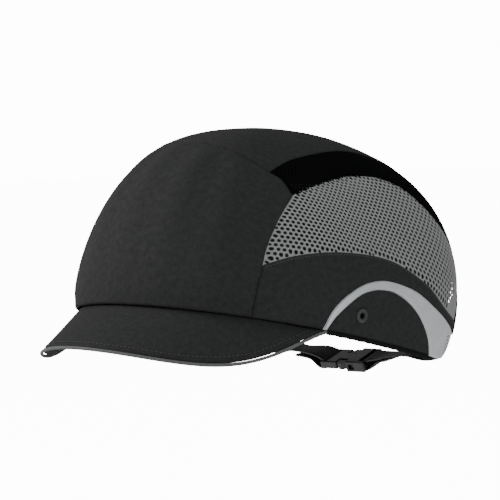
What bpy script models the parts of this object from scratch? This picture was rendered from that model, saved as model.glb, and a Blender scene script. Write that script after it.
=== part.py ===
"""Bump cap: a fabric cap over a hard inner shell, with a short peak and a rear strap.

Lengths are in millimetres until an object is made, which is in metres.
The frame: +Z up, the peak points along -Y, the wearer's left is +X.
The origin is the centre of the head opening, in the plane of the lower rim.
"""

import math

import bmesh
import bpy
import numpy as np
from mathutils import Matrix, Vector

MM = 0.001

# Crown: a superellipse in plan, lofted to a dome. Front, side and rear have their own profiles.
HALF_WIDTH = 94.0
FRONT_LENGTH = 106.5
REAR_LENGTH = 123.5
FRONT_POWER = 2.11
REAR_POWER = 2.52
CROWN_TOP = 119.0
WIDEST_HEIGHT = {"front": 30.6, "side": 27.2, "rear": 23.8}
RISE_POWER = {"front": 1.59, "side": 1.13, "rear": 2.87}
ROUND_POWER = {"front": 3.11, "side": 1.93, "rear": 1.70}
TUCK_IN = 0.039
TUCK_DEPTH = 7.0
CROWN_CENTRE = np.array([0.0, 8.0, 25.0])
RIM_SLOPE = -0.243

# Cloth and lining, as depths below the crown's outer face.
FABRIC = 1.3
SEAM_GAP = 0.28
SHELL_DEPTH = 3.0
SHELL_THICKNESS = 2.0
LINING_DEPTH = 6.2
BAND_THICKNESS = 3.0
BAND_HEIGHT = 33.0
PAD_THICKNESS = 5.0
GAP = 0.3

# Peak.
PEAK_HALF_WIDTH = 89.0
PEAK_ROOT_Y = -37.0
PEAK_REACH = 103.9
PEAK_TIP_Z = 6.2
PEAK_CORNER_Z = 9.0
PEAK_SAG = 24.0
PEAK_CORNER_TURN = -20.2
PEAK_TUCK = 3.0
PEAK_DROP = 0.5
COVER = 0.7
BOARD = 1.2
PIPING_HALF_WIDTH = 1.1

# Rear strap and its side-release buckle, for 15 mm webbing.
WEBBING_WIDTH = 15.0
WEBBING_THICKNESS = 1.3
BUCKLE_CENTRE = (-3.5, 84.0, -20.8)
BUCKLE_ROLL = 20.6
STRAP_AXIS = (0.0, 83.5, -10.0)
ARM_PIVOT = (-4.3, 6.6)
SOCKET_MOUTH = 3.0
SOCKET_END = 17.5
SOCKET_HALF_WIDTH = 9.9
SOCKET_HALF_HEIGHT = 3.4
BAR_SIZE = 2.5
BAR_CLEARANCE = 0.7

# Colours (linear), roughness, metallic.
CHARCOAL = (0.040, 0.042, 0.041)
BLACK = (0.006, 0.006, 0.007)
GREY = (0.16, 0.165, 0.165)
SILVER = (0.42, 0.44, 0.45)
PIPING_GREY = (0.12, 0.125, 0.125)
SHELL_BLACK = (0.012, 0.012, 0.013)
FOAM_GREY = (0.05, 0.05, 0.055)
BUCKLE_BLACK = (0.016, 0.016, 0.018)
WEBBING_BLACK = (0.030, 0.030, 0.036)
LABEL_WHITE = (0.60, 0.60, 0.58)


def clear_scene():
    """Remove the objects already in the scene."""
    for obj in list(bpy.data.objects):
        bpy.data.objects.remove(obj, do_unlink=True)


def blend_profiles(table, front, side, rear):
    """Mix one profile value by how far a point is to the front, side and rear."""
    return front * table["front"] + side * table["side"] + rear * table["rear"]


def crown_level(point):
    """Below zero inside the crown's outer face, zero on it and above zero outside."""
    x, y, z = point
    front_half = y < 0.0
    power = FRONT_POWER if front_half else REAR_POWER
    length = FRONT_LENGTH if front_half else REAR_LENGTH
    across = (abs(x) / HALF_WIDTH) ** power
    along = (abs(y) / length) ** power
    total = max(across + along, 1e-12)
    side = across / total
    front = along / total if front_half else 0.0
    rear = 0.0 if front_half else along / total
    radius = total ** (1.0 / power)
    widest = blend_profiles(WIDEST_HEIGHT, front, side, rear)
    if z < widest:
        low = (widest - z) / (widest + TUCK_DEPTH)
        return radius - (1.0 - TUCK_IN * low * low)
    height = (z - widest) / (CROWN_TOP - widest)
    rise = blend_profiles(RISE_POWER, front, side, rear)
    rounding = blend_profiles(ROUND_POWER, front, side, rear)
    return radius**rounding + height**rise - 1.0


def on_crown(point, depth=0.0):
    """Move a point along its ray from the crown's centre to the given depth in the crown."""
    ray = np.asarray(point, float) - CROWN_CENTRE
    ray /= np.linalg.norm(ray)
    near, far = 30.0, 190.0
    for _ in range(36):
        middle = 0.5 * (near + far)
        if crown_level(CROWN_CENTRE + ray * middle) < 0.0:
            near = middle
        else:
            far = middle
    return CROWN_CENTRE + ray * (near - depth)


def crown_normal(point):
    """Outward unit normal of the crown at a point on it."""
    step = 0.05
    slope = []
    for axis in np.eye(3) * step:
        slope.append(crown_level(point + axis) - crown_level(point - axis))
    slope = np.array(slope)
    return slope / np.linalg.norm(slope)


def rim_at(turn):
    """Point on the lower rim. A turn of -90 is the front, 0 the left side and 90 the rear."""
    angle = math.radians(turn)
    cosine, sine = math.cos(angle), math.sin(angle)
    power = FRONT_POWER if sine < 0.0 else REAR_POWER
    length = FRONT_LENGTH if sine < 0.0 else REAR_LENGTH
    front = sine * sine if sine < 0.0 else 0.0
    rear = 0.0 if sine < 0.0 else sine * sine
    widest = blend_profiles(WIDEST_HEIGHT, front, cosine * cosine, rear)
    x_full = math.copysign(HALF_WIDTH * abs(cosine) ** (2.0 / power), cosine)
    y_full = math.copysign(length * abs(sine) ** (2.0 / power), sine)
    scale = 1.0
    for _ in range(8):
        z = RIM_SLOPE * y_full * scale
        low = (widest - z) / (widest + TUCK_DEPTH)
        scale = 1.0 - TUCK_IN * low * low
    return np.array([x_full * scale, y_full * scale, RIM_SLOPE * y_full * scale])


def curve_through(points, per_span=7):
    """Points of a smooth curve through the given ones, by Catmull-Rom with chord spacing."""
    given = [np.asarray(p, float) for p in points]
    if len(given) == 2:
        return [given[0] + (given[1] - given[0]) * k / per_span for k in range(per_span + 1)]
    ends = [2.0 * given[0] - given[1], *given, 2.0 * given[-1] - given[-2]]
    result = []
    for i in range(1, len(ends) - 2):
        p0, p1, p2, p3 = ends[i - 1 : i + 3]
        t0 = 0.0
        t1 = t0 + np.linalg.norm(p1 - p0) ** 0.5
        t2 = t1 + np.linalg.norm(p2 - p1) ** 0.5
        t3 = t2 + np.linalg.norm(p3 - p2) ** 0.5
        for k in range(per_span):
            t = t1 + (t2 - t1) * k / per_span
            a1 = p0 * (t1 - t) / (t1 - t0) + p1 * (t - t0) / (t1 - t0)
            a2 = p1 * (t2 - t) / (t2 - t1) + p2 * (t - t1) / (t2 - t1)
            a3 = p2 * (t3 - t) / (t3 - t2) + p3 * (t - t2) / (t3 - t2)
            b1 = a1 * (t2 - t) / (t2 - t0) + a2 * (t - t0) / (t2 - t0)
            b2 = a2 * (t3 - t) / (t3 - t1) + a3 * (t - t1) / (t3 - t1)
            result.append(b1 * (t2 - t) / (t2 - t1) + b2 * (t - t1) / (t2 - t1))
    return [*result, given[-1]]


def seam(points):
    """A sewing line on the crown through the given points."""
    return [on_crown(p) for p in curve_through(points)]


def rim_line(first, last, count=14):
    """The lower rim between two turns."""
    return [rim_at(first + (last - first) * k / count) for k in range(count + 1)]


def joined(*lines):
    """One line made of several that meet end to end."""
    result = list(lines[0])
    for line in lines[1:]:
        result += list(line)[1:]
    return result


def mirrored(line):
    """The same line on the wearer's right."""
    return [np.array([-p[0], p[1], p[2]]) for p in line]


class Chart:
    """A flat map of the crown round a panel: angle and heading from the panel's middle ray."""

    def __init__(self, points):
        rays = np.array(points) - CROWN_CENTRE
        rays /= np.linalg.norm(rays, axis=1, keepdims=True)
        self.middle = rays.mean(axis=0) / np.linalg.norm(rays.mean(axis=0))
        self.right = np.cross(self.middle, (0.1, 0.3, 1.0))
        self.right /= np.linalg.norm(self.right)
        self.up = np.cross(self.right, self.middle)

    def flat(self, point):
        """Place of a point on the map, in radians."""
        ray = (point - CROWN_CENTRE) / np.linalg.norm(point - CROWN_CENTRE)
        offset = np.array([ray @ self.right, ray @ self.up])
        size = max(np.linalg.norm(offset), 1e-12)
        return offset / size * math.atan2(size, ray @ self.middle)

    def crown(self, place):
        """Point of the crown at a place on the map."""
        angle = max(np.linalg.norm(place), 1e-12)
        across = (place[0] * self.right + place[1] * self.up) / angle
        return on_crown(CROWN_CENTRE + self.middle * math.cos(angle) + across * math.sin(angle))


def spread(line, spans):
    """Evenly spaced points along a line."""
    points = np.array(line)
    steps = np.linalg.norm(np.diff(points, axis=0), axis=1)
    share = np.concatenate([[0.0], np.cumsum(steps)]) / steps.sum()
    places = np.linspace(0.0, 1.0, spans + 1)
    return list(np.array([np.interp(places, share, axis) for axis in points.T]).T)


def coons_grid(south, north, west, east):
    """Crown points between four lines. South and north run west to east, the others upwards."""
    chart = Chart([*south, *north])
    s, n, w, e = ([chart.flat(p) for p in line] for line in (south, north, west, east))
    columns, rows = len(s) - 1, len(w) - 1
    grid = []
    for j in range(rows + 1):
        line = []
        for i in range(columns + 1):
            u, v = i / columns, j / rows
            base = (1 - u) * s[0] + u * s[-1]
            roof = (1 - u) * n[0] + u * n[-1]
            place = (1 - v) * (s[i] - base) + v * (n[i] - roof) + (1 - u) * w[j] + u * e[j]
            line.append(chart.crown(place))
        grid.append(line)
    return trim_edges(np.array(grid))


def trim_edges(grid):
    """Move a grid's edges inwards along the crown, square to each edge, by half of a seam's gap."""
    moves = np.zeros_like(grid)
    turned = moves.swapaxes(0, 1)
    for lines, shifts in ((grid, moves), (grid.swapaxes(0, 1), turned)):
        for edge, inner in ((0, 1), (-1, -2)):
            ways = np.gradient(lines[edge], axis=0)
            for i, way in enumerate(ways):
                square = np.cross(way, crown_normal(lines[edge][i]))
                square /= np.linalg.norm(square)
                inwards = np.sign(np.dot(square, lines[inner][i] - lines[edge][i]))
                shifts[edge][i] += square * inwards * SEAM_GAP
    return grid + moves


def material(name, colour, roughness, metallic=0.0):
    """A Principled material for one sub-part."""
    result = bpy.data.materials.new(name)
    result.use_nodes = True
    shader = result.node_tree.nodes["Principled BSDF"]
    shader.inputs["Base Color"].default_value = (*colour, 1.0)
    shader.inputs["Roughness"].default_value = roughness
    shader.inputs["Metallic"].default_value = metallic
    return result


def add_object(name, points, faces, look, origin=(0.0, 0.0, 0.0), roll=0.0, parent=None):
    """Make a closed, smooth-shaded object. Points are in millimetres, relative to the origin."""
    mesh = bpy.data.meshes.new(name)
    mesh.from_pydata([tuple(float(c) * MM for c in p) for p in points], [], faces)
    work = bmesh.new()
    work.from_mesh(mesh)
    bmesh.ops.triangulate(work, faces=[f for f in work.faces if len(f.verts) > 4])
    bmesh.ops.recalc_face_normals(work, faces=work.faces)
    work.to_mesh(mesh)
    work.free()
    mesh.shade_smooth()
    mesh.set_sharp_from_angle(angle=math.radians(40.0))
    obj = bpy.data.objects.new(name, mesh)
    bpy.context.collection.objects.link(obj)
    obj.data.materials.append(material(name, *look))
    place = Vector(origin) * MM
    if parent is not None:
        obj.parent = parent
        place -= parent.location
    obj.location = place
    obj.rotation_euler = (math.radians(roll), 0.0, 0.0)
    return obj


def add_empty(name, place):
    """An empty that stands on a joint's axis."""
    empty = bpy.data.objects.new(name, None)
    empty.location = Vector(place) * MM
    bpy.context.collection.objects.link(empty)
    return empty


def two_skins(outer, inner, closed=False):
    """Points and faces of a sheet between two equal grids."""
    rows, columns = len(outer), len(outer[0])
    points = [p for line in outer for p in line] + [p for line in inner for p in line]
    shift = rows * columns
    faces = []
    spans = columns if closed else columns - 1
    for j in range(rows - 1):
        for i in range(spans):
            k = (i + 1) % columns
            a, b, c, d = j * columns + i, j * columns + k, (j + 1) * columns + k, (j + 1) * columns + i
            faces.append((a, b, c, d))
            faces.append((a + shift, d + shift, c + shift, b + shift))
    for i in range(spans):
        k = (i + 1) % columns
        top = (rows - 1) * columns
        faces.append((i, i + shift, k + shift, k))
        faces.append((top + i, top + k, top + k + shift, top + i + shift))
    if not closed:
        for j in range(rows - 1):
            a, b = j * columns, (j + 1) * columns
            right = columns - 1
            faces.append((a, b, b + shift, a + shift))
            faces.append((a + right, a + right + shift, b + right + shift, b + right))
    return points, faces


def flip(points):
    """Mirror points to the wearer's right."""
    return [np.array([-p[0], p[1], p[2]]) for p in points]


def add_pair(name, points, faces, look):
    """The left piece and its mirror image on the right."""
    left = add_object(name + "_left", points, faces, look)
    right = add_object(name + "_right", flip(points), faces, look)
    return left, right


def crown_sheet(grid, depth=0.0, thickness=FABRIC):
    """A cloth sheet on the crown over a grid."""
    outer = [[on_crown(p, depth) for p in line] for line in grid]
    inner = [[on_crown(p, depth + thickness) for p in line] for line in grid]
    return two_skins(outer, inner)


def sweep(centres, across, along, profile):
    """A bar with one profile at each station. Each profile point is (across, along)."""
    points, faces = [], []
    count = len(profile)
    for centre, side, up in zip(centres, across, along):
        for a, b in profile:
            points.append(centre + side * a + up * b)
    for j in range(len(centres) - 1):
        for i in range(count):
            k = (i + 1) % count
            faces.append((j * count + i, j * count + k, (j + 1) * count + k, (j + 1) * count + i))
    faces.append(tuple(range(count)))
    last = (len(centres) - 1) * count
    faces.append(tuple(last + i for i in reversed(range(count))))
    return points, faces


def rounded_profile(half_width, half_height, corner, shift=(0.0, 0.0)):
    """Eight-sided outline of a bar."""
    w, h, c = half_width, half_height, corner
    outline = [(w, c - h), (w, h - c), (w - c, h), (c - w, h), (-w, h - c), (-w, c - h), (c - w, -h), (w - c, -h)]
    return [(a + shift[0], b + shift[1]) for a, b in outline]


# ---------------------------------------------------------------- sewing lines (left side)

FRONT_JUNCTION_TURN = -43.7
EAR_FRONT_TURN = -18.8
EAR_FRONT_LOW_TURN = -17.4
EAR_REAR_LOW_TURN = 20.2
EAR_REAR_TURN = 21.6
TAB_CORNER_TURN = 30.8
FRONT_JUNCTION = rim_at(FRONT_JUNCTION_TURN)
PEAK_CORNER = rim_at(PEAK_CORNER_TURN)
EAR_FRONT = rim_at(EAR_FRONT_TURN)
EAR_REAR = rim_at(EAR_REAR_TURN)
TAB_CORNER = rim_at(TAB_CORNER_TURN)
TOP_CORNER = (49.0, -35.5, 94.5)
MESH_CORNER = (61.0, -30.0, 81.0)
PANEL_CORNER = (70.0, -65.0, 46.0)
ARCH_MESH = (60.0, 105.0, 26.0)
ARCH_TOP = (26.0, 120.0, 43.5)
ARCH_PANEL = (68.5, 92.0, 3.0)
ARCH_TAB = (71.5, 88.0, -2.5)


def sewing_lines():
    """Every line between the crown's panels, by name, for the left side."""
    front_half = [(0.0, -53.2, 112.0), (18.0, -51.0, 111.0), (33.0, -46.0, 106.5), (42.0, -41.0, 100.0), TOP_CORNER]
    top_edge = [TOP_CORNER, (42.5, -5.0, 102.5), (39.0, 30.0, 104.5), (38.0, 60.0, 98.0), (34.0, 92.0, 75.0), ARCH_TOP]
    mesh_edge = [MESH_CORNER, (57.0, 0.0, 87.5), (55.0, 30.0, 90.0), (59.0, 60.0, 83.0), (66.0, 82.0, 62.0), ARCH_MESH]
    panel_edge = [PANEL_CORNER, (77.0, -48.0, 50.0), (83.0, -14.0, 50.0), (87.5, 20.0, 43.5)]
    panel_edge += [(90.0, 45.0, 28.5), (84.0, 69.0, 12.5), ARCH_PANEL]
    band_top = [PEAK_CORNER, (90.5, -31.0, 20.5), (92.0, -14.0, 30.5), (92.0, 8.0, 33.0)]
    band_top += [(93.0, 33.0, 25.5), (88.0, 55.0, 14.0), (79.0, 78.0, 2.5), ARCH_TAB]
    band_low = [EAR_FRONT, (90.0, -29.0, 16.5), (93.0, -10.0, 27.0), (94.0, 10.0, 27.0)]
    band_low += [(92.0, 32.0, 15.5), (87.5, 48.0, -2.0), EAR_REAR]
    return {
        "front": spread(seam(front_half), 8),
        "top_edge": spread(seam(top_edge), 18),
        "mesh_edge": spread(seam(mesh_edge), 18),
        "mesh_front": spread(seam([TOP_CORNER, (53.5, -31.0, 90.5), MESH_CORNER]), 3),
        "grey_front": spread(seam([MESH_CORNER, (66.0, -47.0, 69.0), (69.0, -60.0, 55.0), PANEL_CORNER]), 5),
        "side": spread(seam([PANEL_CORNER, (71.5, -71.0, 36.0), FRONT_JUNCTION]), 4),
        "panel_edge": spread(seam(panel_edge), 18),
        "junction": rim_line(FRONT_JUNCTION_TURN, PEAK_CORNER_TURN, 3),
        "band_top": spread(seam(band_top), 15),
        "band_low": spread(seam(band_low), 12),
        "tab_base": rim_line(EAR_REAR_TURN, TAB_CORNER_TURN, 3),
        "arch_tab": spread(seam([ARCH_TAB, ARCH_PANEL]), 4),
        "arch_panel": spread(seam([ARCH_PANEL, (66.0, 97.0, 13.5), ARCH_MESH]), 5),
        "arch_mesh": spread(seam([ARCH_MESH, (46.0, 114.0, 37.5), ARCH_TOP]), 3),
        "arch_top": spread(seam([ARCH_TOP, (13.0, 121.5, 46.0), (0.0, 121.7, 46.5)]), 8),
        "tab_end": spread(seam([TAB_CORNER, (77.2, 77.0, -17.0), (74.2, 83.5, -12.0), ARCH_TAB]), 4),
    }


def across_middle(half):
    """A whole line from the right to the left, from its half that starts at the middle."""
    return joined(list(reversed(mirrored(half))), half)


def build_crown(s):
    """The cloth panels of the crown."""
    charcoal = (CHARCOAL, 0.85)
    base = rim_line(-180.0 - FRONT_JUNCTION_TURN, FRONT_JUNCTION_TURN, 22)
    top = across_middle(joined(s["front"], s["mesh_front"]))
    side = joined(s["side"][::-1], s["grey_front"][::-1])
    add_object("front_panel", *crown_sheet(coons_grid(base, top, mirrored(side), side)), charcoal)

    arch = across_middle(s["arch_top"][::-1])
    grid = coons_grid(across_middle(s["front"]), arch, mirrored(s["top_edge"]), s["top_edge"])
    add_object("top_panel", *crown_sheet(grid), charcoal)

    grid = coons_grid(s["mesh_edge"], s["top_edge"], s["mesh_front"][::-1], s["arch_mesh"])
    add_pair("upper_mesh", *crown_sheet(grid), (BLACK, 0.9))

    grid = coons_grid(s["panel_edge"], s["mesh_edge"], s["grey_front"][::-1], s["arch_panel"])
    add_pair("side_mesh", *crown_sheet(grid), (GREY, 0.9))

    below = joined(s["junction"], s["band_top"])
    grid = coons_grid(below, s["panel_edge"], s["side"][::-1], s["arch_tab"])
    add_pair("side_panel", *crown_sheet(grid), charcoal)

    below = joined(s["band_low"], s["tab_base"])
    west = rim_line(EAR_FRONT_TURN, PEAK_CORNER_TURN, 4)
    grid = coons_grid(below, s["band_top"], west, s["tab_end"])
    add_pair("reflective_band", *crown_sheet(grid), (SILVER, 0.35))


def build_ear_panels(s):
    """The half-moon panel above the ear, with its vent eyelet."""
    south = rim_line(EAR_FRONT_LOW_TURN, EAR_REAR_LOW_TURN, 12)
    west = rim_line(EAR_FRONT_LOW_TURN, EAR_FRONT_TURN, 4)
    east = rim_line(EAR_REAR_LOW_TURN, EAR_REAR_TURN, 4)
    panels = add_pair("ear_panel", *crown_sheet(coons_grid(south, s["band_low"], west, east)), (CHARCOAL, 0.85))
    place = on_crown((93.0, -13.0, 15.0))
    normal = Vector(crown_normal(place))
    for panel, side in zip(panels, (1.0, -1.0)):
        axis = Vector((normal.x * side, normal.y, normal.z))
        spot = Vector((place[0] * side, place[1], place[2])) * MM
        turn = Matrix.Translation(spot) @ axis.to_track_quat("Z", "Y").to_matrix().to_4x4()
        cutter = add_turned(panel.name + "_eyelet_cutter", [(0.0, -4.0), (4.6, -4.0), (4.6, 4.0), (0.0, 4.0)], 16)
        cutter.matrix_world = turn
        cut(panel, cutter)
        ring = [(1.5, -1.5), (3.9, -1.9), (4.3, -1.4), (4.3, 0.2), (3.6, 0.9), (2.4, 0.9), (1.5, 0.2)]
        name = panel.name.replace("ear_panel", "eyelet")
        eyelet = add_turned(name, ring, 16, hollow=True)
        eyelet.data.materials.append(material(name, GREY, 0.7))
        eyelet.matrix_world = turn


def add_turned(name, outline, sides, hollow=False):
    """A solid turned about Z from an outline of (radius, height), open or closed on the axis."""
    points, faces = [], []
    count = len(outline)
    for i in range(sides):
        angle = 2.0 * math.pi * i / sides
        for radius, height in outline:
            points.append((radius * math.cos(angle), radius * math.sin(angle), height))
    for i in range(sides):
        k = (i + 1) % sides
        for j in range(count):
            m = (j + 1) % count
            if not hollow and m == 0:
                continue
            faces.append((i * count + j, k * count + j, k * count + m, i * count + m))
    mesh = bpy.data.meshes.new(name)
    mesh.from_pydata([tuple(c * MM for c in p) for p in points], [], faces)
    work = bmesh.new()
    work.from_mesh(mesh)
    bmesh.ops.remove_doubles(work, verts=work.verts, dist=1e-7)
    bmesh.ops.recalc_face_normals(work, faces=work.faces)
    work.to_mesh(mesh)
    work.free()
    mesh.shade_smooth()
    mesh.set_sharp_from_angle(angle=math.radians(40.0))
    obj = bpy.data.objects.new(name, mesh)
    bpy.context.collection.objects.link(obj)
    return obj


def cut(target, cutter):
    """Cut one object with another, which is then left out of the part."""
    cutter.hide_render = True
    cutter.display_type = "WIRE"
    cutter.hide_set(True)
    change = target.modifiers.new("cut_" + cutter.name, "BOOLEAN")
    change.operation = "DIFFERENCE"
    change.object = cutter


def build_bindings(s):
    """The bound edges: along each side's rim and over the rear arch."""
    path = rim_line(EAR_FRONT_TURN, EAR_REAR_TURN - 0.3, 16)
    out = [crown_normal(p) for p in path]
    up = [np.array([0.0, 0.0, 1.0])] * len(path)
    profile = rounded_profile(1.3, 1.0, 0.5, (-0.65, -1.0 - GAP - SEAM_GAP))
    add_pair("rim_binding", *sweep(path, out, up, profile), (BLACK, 0.8))

    half = joined(s["arch_tab"], s["arch_panel"], s["arch_mesh"], s["arch_top"])
    whole = spread(joined(half, list(reversed(mirrored(half)))), 200)
    path = [on_crown(p) for p in spread(whole[1:-1], 40)]
    out = [crown_normal(p) for p in path]
    ways = np.gradient(np.array(path), axis=0)
    into = [np.cross(way, normal) for way, normal in zip(ways, out)]
    into = [a / np.linalg.norm(a) for a in into]
    middle = np.array([0.0, 120.0, 0.0])
    into = [a if np.dot(a, middle - p) > 0 else -a for a, p in zip(into, path)]
    profile = rounded_profile(1.3, 1.0, 0.5, (-0.65, 1.0 + GAP + SEAM_GAP))
    add_object("arch_binding", *sweep(path, out, into, profile), (BLACK, 0.8))


# ---------------------------------------------------------------- peak


def peak_edge(turn):
    """Outer edge of the peak. A turn of 0 is its middle and 90 its left corner."""
    angle = math.radians(turn)
    sine, cosine = math.sin(angle), math.cos(angle)
    x = math.copysign(PEAK_HALF_WIDTH * abs(sine) ** 0.976, sine)
    y = PEAK_ROOT_Y - PEAK_REACH * abs(cosine) ** 1.283
    corner = abs(sine) ** 6
    sag = PEAK_SAG * (x / 90.0) ** 2
    return np.array([x, y, (PEAK_TIP_Z - sag) * (1.0 - corner) + PEAK_CORNER_Z * corner])


def peak_root(turn):
    """Inner edge of the peak, just under the crown's rim."""
    share = (90.0 + PEAK_CORNER_TURN) / 90.0
    point = rim_at(-90.0 + turn * share)
    outward = crown_normal(point)
    flat = np.array([outward[0], outward[1], 0.0])
    return point - flat / np.linalg.norm(flat) * PEAK_TUCK - np.array([0.0, 0.0, PEAK_DROP])


def peak_point(turn, share, trim=0.0):
    """Point on the peak's upper face from its root (0) to its edge (1), less a trim."""
    root, edge = peak_root(turn), peak_edge(turn)
    length = np.linalg.norm(edge - root)
    reach = share * (1.0 - trim / length)
    bulge = 4.0 * reach * (1.0 - reach) * 0.035 * length
    return root * (1.0 - reach) + edge * reach + np.array([0.0, 0.0, bulge])


def peak_layer(top, bottom, first, trim, span, columns=26, rows=5):
    """A layer of the peak between two depths under its upper face."""
    grid = []
    for j in range(rows + 1):
        share = first + (1.0 - first) * j / rows
        grid.append([peak_point(-span + 2.0 * span * i / columns, share, trim) for i in range(columns + 1)])
    grid = np.array(grid)
    along_u = np.gradient(grid, axis=1)
    along_v = np.gradient(grid, axis=0)
    normal = np.cross(along_v, along_u)
    normal /= np.linalg.norm(normal, axis=2, keepdims=True)
    normal *= np.sign(normal[:, :, 2:3])
    return two_skins([list(r) for r in grid - normal * top], [list(r) for r in grid - normal * bottom])


def build_peak():
    """Two covers over a stiff board, with a bead of piping along the edge."""
    span = 84.0
    edge_trim = PIPING_HALF_WIDTH + GAP
    look = (CHARCOAL, 0.85)
    under = COVER + GAP
    add_object("peak_top_cover", *peak_layer(0.0, COVER, 0.0, edge_trim, span), look)
    board = peak_layer(under, under + BOARD, 0.05, edge_trim + 2.0, span - 2.0)
    add_object("peak_board", *board, (SHELL_BLACK, 0.5))
    low = under + BOARD + GAP
    add_object("peak_bottom_cover", *peak_layer(low, low + COVER, 0.0, edge_trim, span), look)
    middle = 0.5 * (low + COVER)
    count = 44
    turns = [-88.0 + 176.0 * k / count for k in range(count + 1)]
    path = [peak_edge(t) - np.array([0.0, 0.0, middle]) for t in turns]
    ways = np.gradient(np.array(path), axis=0)
    side = []
    for way in ways:
        flat = np.array([way[1], -way[0], 0.0])
        side.append(flat / np.linalg.norm(flat))
    up = [np.array([0.0, 0.0, 1.0])] * len(path)
    tall = 0.5 * (low + COVER)
    profile = rounded_profile(PIPING_HALF_WIDTH, tall, 0.7)
    add_object("peak_piping", *sweep(path, side, up, profile), (PIPING_GREY, 0.45))


# ---------------------------------------------------------------- inside


def ray_point(azimuth, elevation, depth):
    """Point under the crown along a ray. Azimuth -90 is the front and 0 the left side."""
    a, e = math.radians(azimuth), math.radians(elevation)
    ray = np.array([math.cos(e) * math.cos(a), math.cos(e) * math.sin(a), math.sin(e)])
    return on_crown(CROWN_CENTRE + ray * 50.0, depth)


def shell_edge_height(azimuth):
    """Height of the shell's lower edge round the head: low at the sides, arched at the rear."""
    round_front = abs((azimuth + 90.0 + 180.0) % 360.0 - 180.0)
    turns = [0.0, 45.0, 90.0, 115.0, 128.0, 140.0, 150.0, 165.0, 180.0]
    heights = [43.0, 35.0, 17.0, 8.0, 7.0, 24.0, 42.0, 57.0, 61.0]
    return float(np.interp(round_front, turns, heights))


def elevation_at(azimuth, height, depth):
    """Elevation of the ray that meets the crown's lining at a height."""
    low, high = -50.0, 85.0
    for _ in range(22):
        middle = 0.5 * (low + high)
        if ray_point(azimuth, middle, depth)[2] < height:
            low = middle
        else:
            high = middle
    return low


def dome(depth, thickness, lowest, around, rows):
    """A closed dome under the crown, from the elevation of its edge to the top."""
    skins = []
    for level in (depth, depth + thickness):
        skin = []
        for j in range(rows):
            share = j / rows
            ring = []
            for i in range(around):
                azimuth = -90.0 + 360.0 * i / around
                start = lowest(azimuth)
                ring.append(ray_point(azimuth, start + (90.0 - start) * share, level))
            skin.append(ring)
        skins.append(skin)
    points, faces = two_skins(*skins, closed=True)
    top = (rows - 1) * around
    shift = rows * around
    lid = set(range(top, top + around)) | set(range(shift + top, shift + top + around))
    faces = [f for f in faces if not set(f) <= lid]
    points.append(ray_point(0.0, 90.0, depth))
    points.append(ray_point(0.0, 90.0, depth + thickness))
    for i in range(around):
        k = (i + 1) % around
        faces.append((top + i, top + k, len(points) - 2))
        faces.append((shift + top + k, shift + top + i, len(points) - 1))
    return points, faces


def build_shell():
    """The hard shell: a moulded dome with vent slots."""
    around = 34
    edges = {}
    for i in range(around):
        azimuth = -90.0 + 360.0 * i / around
        edges[round(azimuth, 4)] = elevation_at(azimuth, shell_edge_height(azimuth), SHELL_DEPTH)
    parts = dome(SHELL_DEPTH, SHELL_THICKNESS, lambda a: edges[round(a, 4)], around, 10)
    shell = add_object("protective_shell", *parts, (SHELL_BLACK, 0.45))
    slots = [(-20.0, 45.0), (20.0, 45.0), (60.0, 50.0), (120.0, 50.0), (160.0, 45.0), (200.0, 45.0)]
    for number, (azimuth, elevation) in enumerate(slots):
        place = ray_point(azimuth, elevation, SHELL_DEPTH)
        way = Vector(place - CROWN_CENTRE).normalized()
        slot = rounded_profile(11.0, 4.0, 2.5)
        ends = [Vector((a, b, h)) for h in (-8.0, 8.0) for a, b in slot]
        faces = [(i, (i + 1) % 8, 8 + (i + 1) % 8, 8 + i) for i in range(8)]
        faces += [tuple(reversed(range(8))), tuple(range(8, 16))]
        cutter = add_object(f"shell_vent_cutter_{number}", ends, faces, (SHELL_BLACK, 0.5))
        cutter.matrix_world = Matrix.Translation(Vector(place) * MM) @ way.to_track_quat("Z", "Y").to_matrix().to_4x4()
        cut(shell, cutter)


def ray_sheet(azimuths, elevations, depth, thickness, columns, rows, corner=0.18):
    """A pad under the shell between two azimuths and two elevations, with rounded corners."""
    grid = []
    for j in range(rows + 1):
        v = -1.0 + 2.0 * j / rows
        line = []
        for i in range(columns + 1):
            u = -1.0 + 2.0 * i / columns
            a = u * (1.0 - corner * v * v)
            b = v * (1.0 - corner * u * u)
            azimuth = 0.5 * (azimuths[0] + azimuths[1] + a * (azimuths[1] - azimuths[0]))
            elevation = 0.5 * (elevations[0] + elevations[1] + b * (elevations[1] - elevations[0]))
            line.append((azimuth, elevation))
        grid.append(line)
    outer = [[ray_point(a, e, depth) for a, e in line] for line in grid]
    inner = [[ray_point(a, e, depth + thickness) for a, e in line] for line in grid]
    return two_skins(outer, inner)


def build_pads():
    """Foam pads stuck to the inside of the shell."""
    look = (FOAM_GREY, 0.95)
    crown = dome(LINING_DEPTH, PAD_THICKNESS, lambda azimuth: 64.0, 20, 3)
    add_object("crown_pad", *crown, look)
    front = ray_sheet((-125.0, -55.0), (22.0, 50.0), LINING_DEPTH, PAD_THICKNESS, 10, 4)
    add_object("front_pad", *front, look)
    side = ray_sheet((-12.0, 22.0), (16.0, 38.0), LINING_DEPTH, PAD_THICKNESS, 6, 4)
    add_pair("side_pad", *side, look)
    rear = ray_sheet((66.0, 114.0), (33.0, 56.0), LINING_DEPTH, PAD_THICKNESS, 8, 4)
    add_object("rear_pad", *rear, look)


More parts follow.
